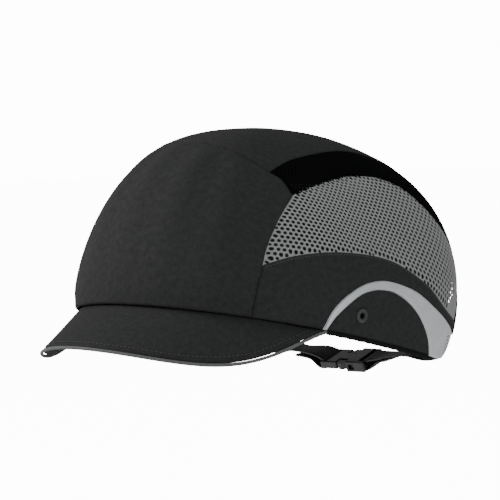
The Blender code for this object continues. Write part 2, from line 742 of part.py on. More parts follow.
def build_sweatband():
    """The towelling band round the front and sides, sewn in along the rim."""
    first, last, columns = -206.0, 26.0, 36
    levels = [(-2.5, 3.8), (4.0, 4.3), (10.0, LINING_DEPTH), (21.0, LINING_DEPTH), (BAND_HEIGHT, LINING_DEPTH)]
    outer, inner = [], []
    for height, depth in levels:
        rim = [rim_at(first + (last - first) * i / columns) for i in range(columns + 1)]
        lifted = [p + np.array([0.0, 0.0, height]) for p in rim]
        outer.append([on_crown(p, depth) for p in lifted])
        inner.append([on_crown(p, depth + BAND_THICKNESS) for p in lifted])
    add_object("sweatband", *two_skins(outer, inner), (BLACK, 0.95))
    label_depth = LINING_DEPTH + BAND_THICKNESS + GAP
    low = [rim_at(t) + np.array([0.0, 0.0, 15.0]) for t in (6.0, 12.0, 18.0)]
    high = [rim_at(t) + np.array([0.0, 0.0, 29.0]) for t in (6.0, 12.0, 18.0)]
    outer = [[on_crown(p, label_depth) for p in line] for line in (low, high)]
    inner = [[on_crown(p, label_depth + 0.5) for p in line] for line in (low, high)]
    add_object("care_label", *two_skins(outer, inner), (LABEL_WHITE, 0.8))


# ---------------------------------------------------------------- strap and buckle


def buckle_to_world(x, z):
    """World place of a point of the buckle's middle plane."""
    roll = math.radians(BUCKLE_ROLL)
    return (
        BUCKLE_CENTRE[0] + x,
        BUCKLE_CENTRE[1] - z * math.sin(roll),
        BUCKLE_CENTRE[2] + z * math.cos(roll),
        BUCKLE_ROLL,
    )


def bar_loop(bar, side):
    """Stations of webbing that passes over a buckle's bar and returns under it."""
    clear = 0.5 * (BAR_SIZE + WEBBING_THICKNESS) + BAR_CLEARANCE
    stations = []
    for degrees in (90.0, 135.0, 180.0, 225.0, 270.0):
        angle = math.radians(degrees)
        stations.append(buckle_to_world(bar + side * clear * math.cos(angle), clear * math.sin(angle)))
    return stations


def ribbon(stations):
    """A band of webbing along stations of (x, y, z, roll of its width)."""
    dense = curve_through(stations, 3)
    centres = [p[:3] for p in dense]
    width = []
    for p in dense:
        roll = math.radians(p[3])
        width.append(np.array([0.0, math.cos(roll), math.sin(roll)]))
    ways = np.gradient(np.array(centres), axis=0)
    normal = []
    for way, across in zip(ways, width):
        up = np.cross(way, across)
        normal.append(up / np.linalg.norm(up))
    profile = rounded_profile(0.5 * WEBBING_WIDTH, 0.5 * WEBBING_THICKNESS, 0.3)
    return sweep(centres, width, normal, profile)


def relative(points, origin):
    """Points seen from an origin."""
    return [np.asarray(p) - np.asarray(origin) for p in points]


def build_straps(axis):
    """The two webbing halves and the patches that sew them to the tabs."""
    look = (WEBBING_BLACK, 0.6)
    tab_end = [(69.0, 80.5, -9.5, 90.0), (63.0, 82.0, -11.2, 72.0), (53.0, 83.4, -14.6, 24.0)]
    bar = SOCKET_END - 0.5 * BAR_SIZE
    near = [*tab_end, (44.0, 84.0, -15.6, 5.0), (33.0, 84.0, -16.4, 5.0), (22.0, 83.8, -17.6, 14.0)]
    tail = [buckle_to_world(bar + 4.5, -1.2), (22.0, 84.6, -19.6, 14.0), (29.0, 84.6, -18.7, 8.0)]
    points, faces = ribbon([*near, *bar_loop(bar, 1.0), *tail])
    add_object("strap_webbing_left", relative(points, STRAP_AXIS), faces, look, STRAP_AXIS, parent=axis)

    far = [(-x, y, z, roll) for x, y, z, roll in tab_end]
    far += [(-44.5, 84.0, -15.4, 6.0), (-27.5, 83.8, -16.4, 16.0)]
    tail = [buckle_to_world(-bar - 4.0, -2.3), (-31.0, 84.6, -19.1, 14.0), (-43.0, 84.6, -18.0, 8.0)]
    points, faces = ribbon([*far, *bar_loop(-bar, -1.0), *tail])
    add_object("strap_webbing_right", relative(points, STRAP_AXIS), faces, look, STRAP_AXIS, parent=axis)

    low = [(80.0, 69.5, -14.5), (77.8, 75.5, -14.3), (75.2, 80.5, -12.5)]
    high = [(82.0, 69.5, -1.0), (79.0, 76.5, -1.0), (75.0, 83.5, -1.0)]
    outer = [[on_crown(p, FABRIC + GAP) for p in line] for line in (low, high)]
    inner = [[on_crown(p, FABRIC + GAP + WEBBING_THICKNESS) for p in line] for line in (low, high)]
    add_pair("strap_anchor", *two_skins(outer, inner), look)


def box_points(low, high):
    """Corners and faces of a box."""
    points = [(x, y, z) for x in (low[0], high[0]) for y in (low[1], high[1]) for z in (low[2], high[2])]
    faces = [(0, 1, 3, 2), (4, 6, 7, 5), (0, 4, 5, 1), (2, 3, 7, 6), (0, 2, 6, 4), (1, 5, 7, 3)]
    return points, faces


def add_box(name, low, high, parent, bevel=0.0):
    """A moulded block in the buckle's own frame."""
    points, faces = box_points(low, high)
    obj = add_object(name, points, faces, (BUCKLE_BLACK, 0.35), BUCKLE_CENTRE, BUCKLE_ROLL, parent)
    if bevel:
        change = obj.modifiers.new("edges", "BEVEL")
        change.width = bevel * MM
        change.segments = 2
    return obj


def build_socket(axis):
    """The buckle's socket: a flat sleeve with side windows and a bar for the webbing."""
    wide, tall = SOCKET_HALF_WIDTH, SOCKET_HALF_HEIGHT
    socket = add_box("buckle_socket", (SOCKET_MOUTH, -wide, -tall), (SOCKET_END, wide, tall), axis, 0.9)
    bar_start = SOCKET_END - BAR_SIZE
    half_bar = 0.5 * BAR_SIZE
    cuts = {
        "cavity": ((SOCKET_MOUTH - 1.0, -8.4, -2.3), (11.5, 8.4, 2.3)),
        "window": ((5.2, -wide - 1.0, -1.7), (9.6, wide + 1.0, 1.7)),
        "slot": ((12.3, -8.0, -tall - 1.0), (bar_start, 8.0, tall + 1.0)),
        "above_bar": ((bar_start - 0.5, -8.0, half_bar), (SOCKET_END + 1.0, 8.0, tall + 1.0)),
        "below_bar": ((bar_start - 0.5, -8.0, -tall - 1.0), (SOCKET_END + 1.0, 8.0, -half_bar)),
    }
    for name, (low, high) in cuts.items():
        cut(socket, add_box("socket_" + name + "_cutter", low, high, axis))


def build_plug(axis):
    """The buckle's plug: a base with a bar, a guide tongue and two squeeze arms."""
    outer_end = -SOCKET_END
    half_bar = 0.5 * BAR_SIZE
    tall = 2.4
    plug = add_box("buckle_plug", (outer_end, -9.0, -tall), (-4.7, 9.0, tall), axis, 0.8)
    bar_end = outer_end + BAR_SIZE
    cuts = {
        "slot": ((bar_end, -8.0, -tall - 1.0), (bar_end + 2.8, 8.0, tall + 1.0)),
        "above_bar": ((outer_end - 1.0, -8.0, half_bar), (bar_end + 0.5, 8.0, tall + 1.0)),
        "below_bar": ((outer_end - 1.0, -8.0, -tall - 1.0), (bar_end + 0.5, 8.0, -half_bar)),
    }
    for name, (low, high) in cuts.items():
        cut(plug, add_box("plug_" + name + "_cutter", low, high, axis))
    for name, low, high in (
        ("tongue", (-6.0, -1.2, -1.5), (10.5, 1.2, 1.5)),
        ("shoulder", (-6.0, -3.6, -tall), (1.8, 3.6, tall)),
    ):
        block = add_box(f"plug_{name}_guide", low, high, axis)
        block.hide_render = True
        block.display_type = "WIRE"
        block.hide_set(True)
        join = plug.modifiers.new(name, "BOOLEAN")
        join.operation = "UNION"
        join.object = block

    outline = [(-4.3, 5.0), (-4.3, 8.0), (-2.8, 9.6), (-0.4, 9.9), (1.6, 9.3), (2.7, 8.1), (9.2, 8.1), (11.2, 6.0)]
    outline += [(11.2, 4.6), (8.0, 4.4), (3.0, 5.2)]
    for name, side in (("buckle_arm_rear", 1.0), ("buckle_arm_front", -1.0)):
        points = []
        for z in (-1.9, 1.9):
            points += [(x - ARM_PIVOT[0], side * (y - ARM_PIVOT[1]), z) for x, y in outline]
        count = len(outline)
        faces = [tuple(range(count)), tuple(reversed(range(count, 2 * count)))]
        faces += [(i, (i + 1) % count, count + (i + 1) % count, count + i) for i in range(count)]
        roll = math.radians(BUCKLE_ROLL)
        place = (
            BUCKLE_CENTRE[0] + ARM_PIVOT[0],
            BUCKLE_CENTRE[1] + side * ARM_PIVOT[1] * math.cos(roll),
            BUCKLE_CENTRE[2] + side * ARM_PIVOT[1] * math.sin(roll),
        )
        add_object(name, points, faces, (BUCKLE_BLACK, 0.35), place, BUCKLE_ROLL, axis)


def main():
    """Build every piece of the cap."""
    clear_scene()
    lines = sewing_lines()
    build_crown(lines)
    build_ear_panels(lines)
    build_bindings(lines)
    build_peak()
    build_shell()
    build_pads()
    build_sweatband()
    strap_axis = add_empty("strap_axis", STRAP_AXIS)
    build_straps(strap_axis)
    build_socket(strap_axis)
    build_plug(strap_axis)


main()
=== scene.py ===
"""Bump cap: the cloth, knit, trims, lining, strap and finishes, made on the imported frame.

Lengths are in millimetres until a mesh is made, which is in metres.
The frame: +Z up, the peak points along -Y, the wearer's left is +X.
"""

import math

import bmesh
import bpy
import numpy as np
from bpy.props import FloatProperty, FloatVectorProperty, IntProperty, PointerProperty
from bpy.types import Operator, Panel, PropertyGroup
from mathutils import Matrix, Vector, geometry, kdtree


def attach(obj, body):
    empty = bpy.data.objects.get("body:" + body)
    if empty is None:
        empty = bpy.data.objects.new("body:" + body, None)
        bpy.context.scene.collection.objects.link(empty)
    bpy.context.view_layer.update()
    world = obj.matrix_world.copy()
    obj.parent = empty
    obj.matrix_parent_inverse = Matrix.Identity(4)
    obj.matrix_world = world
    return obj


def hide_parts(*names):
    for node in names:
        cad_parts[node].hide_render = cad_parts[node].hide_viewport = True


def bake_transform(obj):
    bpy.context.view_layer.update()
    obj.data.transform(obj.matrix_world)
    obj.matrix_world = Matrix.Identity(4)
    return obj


bl_info = {
    "name": "Bump Cap",
    "version": (1, 0, 0),
    "blender": (4, 5, 0),
    "location": "View3D > Sidebar > Bump Cap",
    "description": "Builds a cloth bump cap with a hard liner, a short peak and a rear strap",
    "category": "Add Mesh",
}

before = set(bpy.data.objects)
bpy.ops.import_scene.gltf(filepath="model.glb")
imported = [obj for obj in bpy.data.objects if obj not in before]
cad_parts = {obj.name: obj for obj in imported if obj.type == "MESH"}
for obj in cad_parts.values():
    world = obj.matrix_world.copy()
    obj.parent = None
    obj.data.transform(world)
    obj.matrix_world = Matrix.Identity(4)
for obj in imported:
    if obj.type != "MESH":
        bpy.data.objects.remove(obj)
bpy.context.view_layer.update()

MM = 0.001

# Crown: a superellipse in plan, lofted to a dome. Front, side and rear have their own profiles.
HALF_WIDTH = 94.0
FRONT_LENGTH = 106.5
REAR_LENGTH = 123.5
FRONT_POWER = 2.11
REAR_POWER = 2.52
CROWN_TOP = 119.0
WIDEST_HEIGHT = (30.6, 27.2, 23.8)
RISE_POWER = (1.59, 1.13, 2.87)
ROUND_POWER = (3.11, 1.93, 1.70)
TUCK_IN = 0.039
TUCK_DEPTH = 7.0
CROWN_CENTRE = np.array([0.0, 8.0, 25.0])
CROWN_RADIUS = 91.0
RIM_SLOPE = -0.243

# Cloth and lining, as depths below the crown's outer face.
FABRIC = 1.3
SEAM_DIP = 0.8
SEAM_REACH = 1.0
KNIT_THICKNESS = 0.55
KNIT_MARGIN = 1.1
KNIT_DIP = 0.7
KNIT_SLANT = 8.0
BLACK_OPENING = 0.5
SHELL_DEPTH = 3.0
SHELL_THICKNESS = 2.0
LINING_DEPTH = 6.2
BAND_THICKNESS = 3.0
PAD_THICKNESS = 5.0
GAP = 0.3

# The knit has no holes below the shell's edge, or less than this above it.
KNIT_LINED = 3.0

# Peak.
PEAK_HALF_WIDTH = 89.0
PEAK_ROOT_Y = -37.0
PEAK_REACH = 103.9
PEAK_TIP_Z = 6.2
PEAK_CORNER_Z = 9.0
PEAK_SAG = 24.0
PEAK_CORNER_TURN = -20.2
PEAK_TUCK = 3.0
PEAK_DROP = 0.5
PEAK_SPAN = 87.0
COVER = 0.7
BOARD = 1.2
PIPING_RADIUS = 0.95
PIPING_DROP = 1.0
PEAK_TRIM = 0.7
PEAK_BULGE = 0.035
PEAK_GROOVE = 3.4

# Rear strap and its side-release buckle.
WEBBING_WIDTH = 15.0
WEBBING_THICKNESS = 1.3
BUCKLE_CENTRE = (-3.5, 84.0, -20.8)
BUCKLE_ROLL = 20.6
SOCKET_END = 17.5
BAR_SIZE = 2.5
BAR_CLEARANCE = 0.7

# Sewing lines' ends: turns round the rim and corners on the crown, on the wearer's left.
FRONT_JUNCTION_TURN = -43.7
EAR_FRONT_TURN = -18.8
EAR_FRONT_LOW_TURN = -17.4
EAR_REAR_LOW_TURN = 20.2
EAR_REAR_TURN = 21.6
TAB_CORNER_TURN = 30.8
TOP_CORNER = (49.0, -35.5, 94.5)
MESH_CORNER = (61.0, -30.0, 81.0)
PANEL_CORNER = (70.0, -65.0, 46.0)
ARCH_MESH = (60.0, 105.0, 26.0)
ARCH_TOP = (26.0, 120.0, 43.5)
ARCH_PANEL = (68.5, 92.0, 3.0)
ARCH_TAB = (71.5, 88.0, -2.5)
EYELET = (93.0, -13.0, 15.0)
EYELET_HOLE = 1.9
TAB_ROWS = (((77.6, 75.0, -12.6), (79.0, 75.0, -4.0)), ((76.6, 77.6, -12.2), (77.9, 77.6, -4.0)))

# Stage: lamps as name, place, size, power and colour, with strengths for light and for the camera's rays.
LAMPS = (
    ("key", (-1.15, -1.05, 0.7), 0.6, 27.0, (1.0, 0.99, 0.98)),
    ("fill", (1.4, -0.3, 0.45), 0.9, 9.0, (0.98, 0.99, 1.0)),
    ("top", (-0.2, -0.2, 1.6), 0.9, 9.0, (1.0, 1.0, 1.0)),
)
LAMP_TARGET = (0.0, 0.0, 0.05)
FLOOR_HEIGHT = -0.16
FLOOR_RADIUS = 14.0
FLOOR_GLOW = 13.0
SKY_LIGHT = 0.3
SKY_GLOW = 14.0
CAMERA_TURN = 44.30
CAMERA_RISE = 2.689
CAMERA_ROLL = -1.947
CAMERA_TARGET = (0.0, 0.0, 0.058)
CAMERA_SHIFT = (0.00185, 0.00865)
CAMERA_DISTANCE = 1.5
CAMERA_LENS = 189.4


# ---------------------------------------------------------------- the crown's shape


def blend_profiles(values, front, side, rear):
    """Mix one profile value by how far points are to the front, side and rear."""
    return front * values[0] + side * values[1] + rear * values[2]


def crown_level(points):
    """Below zero inside the crown's outer face, zero on it and above zero outside."""
    x, y, z = np.moveaxis(points, -1, 0)
    ahead = y < 0.0
    power = np.where(ahead, FRONT_POWER, REAR_POWER)
    across = (np.abs(x) / HALF_WIDTH) ** power
    along = (np.abs(y) / np.where(ahead, FRONT_LENGTH, REAR_LENGTH)) ** power
    total = np.maximum(across + along, 1e-12)
    side = across / total
    front = np.where(ahead, along / total, 0.0)
    rear = np.where(ahead, 0.0, along / total)
    radius = total ** (1.0 / power)
    widest = blend_profiles(WIDEST_HEIGHT, front, side, rear)
    low = np.maximum(widest - z, 0.0) / (widest + TUCK_DEPTH)
    height = np.maximum(z - widest, 0.0) / (CROWN_TOP - widest)
    rise = blend_profiles(RISE_POWER, front, side, rear)
    rounding = blend_profiles(ROUND_POWER, front, side, rear)
    below = radius - (1.0 - TUCK_IN * low * low)
    return np.where(z < widest, below, radius**rounding + height**rise - 1.0)


def on_crown(points, depth=0.0):
    """Move points along their rays from the crown's centre to a depth in the crown."""
    rays = np.asarray(points, float) - CROWN_CENTRE
    rays = rays / np.linalg.norm(rays, axis=-1, keepdims=True)
    near = np.full(rays.shape[:-1] + (1,), 30.0)
    far = np.full_like(near, 190.0)
    for _ in range(30):
        middle = 0.5 * (near + far)
        within = crown_level(CROWN_CENTRE + rays * middle)[..., None] < 0.0
        near = np.where(within, middle, near)
        far = np.where(within, far, middle)
    return CROWN_CENTRE + rays * (near - np.asarray(depth)[..., None])


def crown_normal(points):
    """Outward unit normals of the crown at points on it."""
    slopes = []
    for axis in np.eye(3) * 0.05:
        slopes.append(crown_level(points + axis) - crown_level(points - axis))
    slopes = np.stack(slopes, axis=-1)
    return slopes / np.linalg.norm(slopes, axis=-1, keepdims=True)


def rim_at(turns):
    """Points on the lower rim. A turn of -90 is the front, 0 the left side and 90 the rear."""
    angle = np.radians(np.asarray(turns, float))
    cosine, sine = np.cos(angle), np.sin(angle)
    ahead = sine < 0.0
    power = np.where(ahead, FRONT_POWER, REAR_POWER)
    length = np.where(ahead, FRONT_LENGTH, REAR_LENGTH)
    front = np.where(ahead, sine * sine, 0.0)
    rear = np.where(ahead, 0.0, sine * sine)
    widest = blend_profiles(WIDEST_HEIGHT, front, cosine * cosine, rear)
    x_full = np.copysign(HALF_WIDTH * np.abs(cosine) ** (2.0 / power), cosine)
    y_full = np.copysign(length * np.abs(sine) ** (2.0 / power), sine)
    scale = np.ones_like(angle)
    for _ in range(8):
        low = (widest - RIM_SLOPE * y_full * scale) / (widest + TUCK_DEPTH)
        scale = 1.0 - TUCK_IN * low * low
    return np.stack([x_full * scale, y_full * scale, RIM_SLOPE * y_full * scale], axis=-1)


def curve_through(points, per_span=24):
    """A smooth curve through points, by Catmull-Rom with chord spacing."""
    given = [np.asarray(p, float) for p in points]
    if len(given) == 2:
        steps = np.linspace(0.0, 1.0, per_span + 1)[:, None]
        return given[0] + (given[1] - given[0]) * steps
    ends = [2.0 * given[0] - given[1], *given, 2.0 * given[-1] - given[-2]]
    result = []
    for i in range(1, len(ends) - 2):
        p0, p1, p2, p3 = ends[i - 1 : i + 3]
        t0 = 0.0
        t1 = t0 + np.linalg.norm(p1 - p0) ** 0.5
        t2 = t1 + np.linalg.norm(p2 - p1) ** 0.5
        t3 = t2 + np.linalg.norm(p3 - p2) ** 0.5
        for t in np.linspace(t1, t2, per_span, endpoint=False):
            a1 = p0 * (t1 - t) / (t1 - t0) + p1 * (t - t0) / (t1 - t0)
            a2 = p1 * (t2 - t) / (t2 - t1) + p2 * (t - t1) / (t2 - t1)
            a3 = p2 * (t3 - t) / (t3 - t2) + p3 * (t - t2) / (t3 - t2)
            b1 = a1 * (t2 - t) / (t2 - t0) + a2 * (t - t0) / (t2 - t0)
            b2 = a2 * (t3 - t) / (t3 - t1) + a3 * (t - t1) / (t3 - t1)
            result.append(b1 * (t2 - t) / (t2 - t1) + b2 * (t - t1) / (t2 - t1))
    return np.array([*result, given[-1]])


def seam(points):
    """A sewing line on the crown through the given points."""
    return on_crown(curve_through(points))


def rim_line(first, last):
    """The lower rim between two turns."""
    return rim_at(np.linspace(first, last, 80))


def joined(*lines):
    """One line made of several that meet end to end."""
    return np.concatenate([lines[0], *[line[1:] for line in lines[1:]]])


def mirrored(points):
    """The same points on the wearer's right."""
    return np.asarray(points) * (-1.0, 1.0, 1.0)


def line_length(line):
    """Length along a line."""
    return float(np.linalg.norm(np.diff(line, axis=0), axis=1).sum())


def resample(line, shares):
    """Points at shares of a line's length."""
    steps = np.linalg.norm(np.diff(line, axis=0), axis=1)
    along = np.concatenate([[0.0], np.cumsum(steps)]) / steps.sum()
    return np.stack([np.interp(shares, along, axis) for axis in line.T], axis=-1)


def spaced(line, step):
    """Points about a step apart along a line."""
    return resample(line, np.linspace(0.0, 1.0, max(int(line_length(line) / step), 2) + 1))


def edge_shares(length, step):
    """Shares of a length that crowd towards both ends, where cloth dips into its seams."""
    near = np.array([0.0, 0.3, 0.65, 1.05, 1.5])
    middle = np.linspace(2.1, length - 2.1, max(int(length / step), 3))
    return np.concatenate([near, middle, (length - near)[::-1]]) / length


def across_middle(half):
    """A whole line from the right to the left, from its half that starts at the middle."""
    return joined(mirrored(half)[::-1], half)


def sewing_lines():
    """Every line between the crown's panels, by name, for the left side."""
    front = [(0.0, -53.2, 112.0), (18.0, -51.0, 111.0), (33.0, -46.0, 106.5), (42.0, -41.0, 100.0)]
    front += [TOP_CORNER]
    top_edge = [TOP_CORNER, (42.5, -5.0, 102.5), (39.0, 30.0, 104.5), (38.0, 60.0, 98.0)]
    top_edge += [(34.0, 92.0, 75.0), ARCH_TOP]
    mesh_edge = [MESH_CORNER, (57.0, 0.0, 87.5), (55.0, 30.0, 90.0), (59.0, 60.0, 83.0)]
    mesh_edge += [(66.0, 82.0, 62.0), ARCH_MESH]
    panel_edge = [PANEL_CORNER, (77.0, -48.0, 50.0), (83.0, -14.0, 50.0), (87.5, 20.0, 43.5)]
    panel_edge += [(90.0, 45.0, 28.5), (84.0, 69.0, 12.5), ARCH_PANEL]
    band_top = [rim_at(PEAK_CORNER_TURN), (90.5, -31.0, 20.5), (92.0, -14.0, 30.5), (92.0, 8.0, 33.0)]
    band_top += [(93.0, 33.0, 25.5), (88.0, 55.0, 14.0), (79.0, 78.0, 2.5), ARCH_TAB]
    band_low = [rim_at(EAR_FRONT_TURN), (90.0, -29.0, 16.5), (93.0, -10.0, 27.0), (94.0, 10.0, 27.0)]
    band_low += [(92.0, 32.0, 15.5), (87.5, 48.0, -2.0), rim_at(EAR_REAR_TURN)]
    tab_end = [rim_at(TAB_CORNER_TURN), (77.2, 77.0, -17.0), (74.2, 83.5, -12.0), ARCH_TAB]
    return {
        "front": seam(front),
        "top_edge": seam(top_edge),
        "mesh_edge": seam(mesh_edge),
        "mesh_front": seam([TOP_CORNER, (53.5, -31.0, 90.5), MESH_CORNER]),
        "grey_front": seam([MESH_CORNER, (66.0, -47.0, 69.0), (69.0, -60.0, 55.0), PANEL_CORNER]),
        "side": seam([PANEL_CORNER, (71.5, -71.0, 36.0), rim_at(FRONT_JUNCTION_TURN)]),
        "panel_edge": seam(panel_edge),
        "junction": rim_line(FRONT_JUNCTION_TURN, PEAK_CORNER_TURN),
        "band_top": seam(band_top),
        "band_low": seam(band_low),
        "tab_base": rim_line(EAR_REAR_TURN, TAB_CORNER_TURN),
        "tab_end": seam(tab_end),
        "arch_tab": seam([ARCH_TAB, ARCH_PANEL]),
        "arch_panel": seam([ARCH_PANEL, (66.0, 97.0, 13.5), ARCH_MESH]),
        "arch_mesh": seam([ARCH_MESH, (46.0, 114.0, 37.5), ARCH_TOP]),
        "arch_top": seam([ARCH_TOP, (13.0, 121.5, 46.0), (0.0, 121.7, 46.5)]),
    }


class Chart:
    """A flat map of the crown round a panel, about in millimetres along the crown."""

    def __init__(self, points):
        rays = np.asarray(points) - CROWN_CENTRE
        rays = rays / np.linalg.norm(rays, axis=1, keepdims=True)
        self.middle = rays.mean(axis=0) / np.linalg.norm(rays.mean(axis=0))
        self.right = np.cross(self.middle, (0.1, 0.3, 1.0))
        self.right /= np.linalg.norm(self.right)
        self.up = np.cross(self.right, self.middle)

    def flat(self, points):
        """Places of points on the map."""
        rays = points - CROWN_CENTRE
        rays = rays / np.linalg.norm(rays, axis=-1, keepdims=True)
        offset = np.stack([rays @ self.right, rays @ self.up], axis=-1)
        size = np.maximum(np.linalg.norm(offset, axis=-1, keepdims=True), 1e-12)
        return offset / size * np.arctan2(size, (rays @ self.middle)[..., None]) * CROWN_RADIUS

    def crown(self, places):
        """Points of the crown at places on the map."""
        places = places / CROWN_RADIUS
        angle = np.maximum(np.linalg.norm(places, axis=-1, keepdims=True), 1e-12)
        across = (places[..., :1] * self.right + places[..., 1:] * self.up) / angle
        return on_crown(CROWN_CENTRE + self.middle * np.cos(angle) + across * np.sin(angle))


def coons_places(chart, lines, step):
    """Map places between four lines: south and north run west to east, the others upwards."""
    south, north, west, east = lines
    height = np.linalg.norm(resample(north, 0.5) - resample(south, 0.5))
    u = edge_shares(max(line_length(south), line_length(north)), step)
    v = edge_shares(max(line_length(west), line_length(east), height), step)
    s, n = (chart.flat(resample(line, u)) for line in (south, north))
    w, e = (chart.flat(resample(line, v)) for line in (west, east))
    u, v = u[None, :, None], v[:, None, None]
    base = (1.0 - u) * s[0] + u * s[-1]
    roof = (1.0 - u) * n[0] + u * n[-1]
    return (1.0 - v) * (s - base) + v * (n - roof) + (1.0 - u) * w[:, None] + u * e[:, None]


def smooth_step(values):
    """Rise smoothly from 0 to 1 over the same range."""
    values = np.clip(values, 0.0, 1.0)
    return values * values * (3.0 - 2.0 * values)


def distance_to(points, line):
    """Distance from each point to a line."""
    marks = spaced(line, 0.25)
    tree = kdtree.KDTree(len(marks))
    for i, mark in enumerate(marks):
        tree.insert(mark, i)
    tree.balance()
    flat = points.reshape(-1, 3)
    return np.array([tree.find(p)[2] for p in flat]).reshape(points.shape[:-1])


def soft_waves(points, sizes, seed, count=9):
    """A smooth uneven height of about -1 to 1, with its own wavelength along each axis."""
    random = np.random.default_rng(seed)
    ways = random.normal(size=(count, points.shape[-1]))
    ways /= np.linalg.norm(ways, axis=1, keepdims=True)
    phases = random.uniform(0.0, 2.0 * math.pi, count)
    angles = (points / np.asarray(sizes)) @ ways.T * 2.0 * math.pi + phases
    return np.sin(angles).sum(axis=-1) / math.sqrt(2.0 * count)


# ---------------------------------------------------------------- meshes


def sheet_faces(rows, columns, closed=False):
    """Faces of a closed sheet between two equal grids of points, one after the other."""
    spans = columns if closed else columns - 1
    shift = rows * columns
    faces = []
    for j in range(rows - 1):
        for i in range(spans):
            k = (i + 1) % columns
            a, b, c, d = j * columns + i, j * columns + k, (j + 1) * columns + k, (j + 1) * columns + i
            faces += [(a, b, c, d), (a + shift, d + shift, c + shift, b + shift)]
    top = (rows - 1) * columns
    for i in range(spans):
        k = (i + 1) % columns
        faces.append((i, i + shift, k + shift, k))
        faces.append((top + i, top + k, top + k + shift, top + i + shift))
    if not closed:
        last = columns - 1
        for j in range(rows - 1):
            a, b = j * columns, (j + 1) * columns
            faces.append((a, b, b + shift, a + shift))
            faces.append((a + last, a + last + shift, b + last + shift, b + last))
    return faces


def tube_faces(stations, count):
    """Faces of a capped bar with one closed outline of points at each station."""
    faces = []
    for j in range(stations - 1):
        for i in range(count):
            k = (i + 1) % count
            faces.append((j * count + i, j * count + k, (j + 1) * count + k, (j + 1) * count + i))
    last = (stations - 1) * count
    faces.append(tuple(range(count)))
    faces.append(tuple(last + i for i in reversed(range(count))))
    return faces


def new_mesh(name, points, faces, places=None, sharp=50.0):
    """A closed mesh with its faces outwards. Places are the cloth's own coordinates, in metres."""
    mesh = bpy.data.meshes.new(name)
    mesh.from_pydata((np.asarray(points) * MM).tolist(), [], faces)
    if places is not None:
        corners = np.empty(len(mesh.loops), int)
        mesh.loops.foreach_get("vertex_index", corners)
        layer = mesh.uv_layers.new(name="cloth")
        layer.data.foreach_set("uv", np.asarray(places)[corners].ravel())
    work = bmesh.new()
    work.from_mesh(mesh)
    bmesh.ops.remove_doubles(work, verts=work.verts, dist=1e-8)
    bmesh.ops.recalc_face_normals(work, faces=work.faces)
    work.to_mesh(mesh)
    work.free()
    mesh.shade_smooth()
    mesh.set_sharp_from_angle(angle=math.radians(sharp))
    return mesh


def new_piece(name, mesh, material):
    """An object at the origin that shows a mesh."""
    piece = bpy.data.objects.new(name, mesh)
    bpy.context.scene.collection.objects.link(piece)
    mesh.materials.clear()
    mesh.materials.append(material)
    return piece


def settle(piece, nodes):
    """Let a piece ride on the cap and stand for its nodes."""
    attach(piece, "cap")
    if nodes:
        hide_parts(*nodes)


def applied(piece):
    """Turn a piece with live modifiers into a plain mesh."""
    bpy.context.view_layer.update()
    graph = bpy.context.evaluated_depsgraph_get()
    mesh = bpy.data.meshes.new_from_object(piece.evaluated_get(graph))
    mesh.name = piece.name
    piece.modifiers.clear()
    piece.data = mesh
    return piece


def add_sheet(name, outer, inner, places, material):
    """A closed sheet between two grids, with the cloth's coordinates on both faces."""
    rows, columns = outer.shape[:2]
    points = np.concatenate([outer.reshape(-1, 3), inner.reshape(-1, 3)])
    flat = np.tile(places.reshape(-1, 2) * MM, (2, 1))
    return new_piece(name, new_mesh(name, points, sheet_faces(rows, columns), flat), material)


def sweep(centres, across, along, profile):
    """Points of a bar: each outline point is (across, along) at each station."""
    profile = np.asarray(profile)
    sides = across[:, None] * profile[None, :, :1]
    heights = along[:, None] * profile[None, :, 1:]
    return centres[:, None] + sides + heights


def add_bar(name, points, path, around, material):
    """A bar from its swept points, with the cloth's coordinates round its outline and along its path."""
    shape = points.shape[:2]
    along = np.concatenate([[0.0], np.cumsum(np.linalg.norm(np.diff(path, axis=0), axis=1))])
    places = np.stack([np.broadcast_to(around, shape), np.broadcast_to(along[:, None], shape)], axis=-1)
    mesh = new_mesh(name, points.reshape(-1, 3), tube_faces(*shape), places.reshape(-1, 2) * MM)
    return new_piece(name, mesh, material)


def oval(half_width, half_height, count=12, power=2.6, shift=(0.0, 0.0)):
    """A soft-cornered outline of points."""
    angles = np.arange(count) * 2.0 * math.pi / count
    cosine, sine = np.cos(angles), np.sin(angles)
    across = np.copysign(np.abs(cosine) ** (2.0 / power), cosine) * half_width + shift[0]
    along = np.copysign(np.abs(sine) ** (2.0 / power), sine) * half_height + shift[1]
    return np.stack([across, along], axis=-1)


# ---------------------------------------------------------------- materials


def link_or_set(tree, socket, value):
    """Feed a socket from another one, or give it a plain value."""
    if isinstance(value, bpy.types.NodeSocket):
        tree.links.new(value, socket)
    else:
        socket.default_value = value


def maths(tree, operation, *values):
    """The output of a Math node."""
    node = tree.nodes.new("ShaderNodeMath")
    node.operation = operation
    for socket, value in zip(node.inputs, values):
        link_or_set(tree, socket, value)
    return node.outputs[0]


def scaled(tree, vector, factor):
    """A vector times a number, or stretched by another vector."""
    node = tree.nodes.new("ShaderNodeVectorMath")
    stretched = isinstance(factor, tuple)
    node.operation = "MULTIPLY" if stretched else "SCALE"
    tree.links.new(vector, node.inputs[0])
    link_or_set(tree, node.inputs[1] if stretched else node.inputs["Scale"], factor)
    return node.outputs[0]


def map_range(tree, value, low, high, new_low, new_high):
    """The output of a Map Range node."""
    node = tree.nodes.new("ShaderNodeMapRange")
    for label, number in zip(("From Min", "From Max", "To Min", "To Max"), (low, high, new_low, new_high)):
        link_or_set(tree, node.inputs[label], number)
    link_or_set(tree, node.inputs["Value"], value)
    return node.outputs[0]


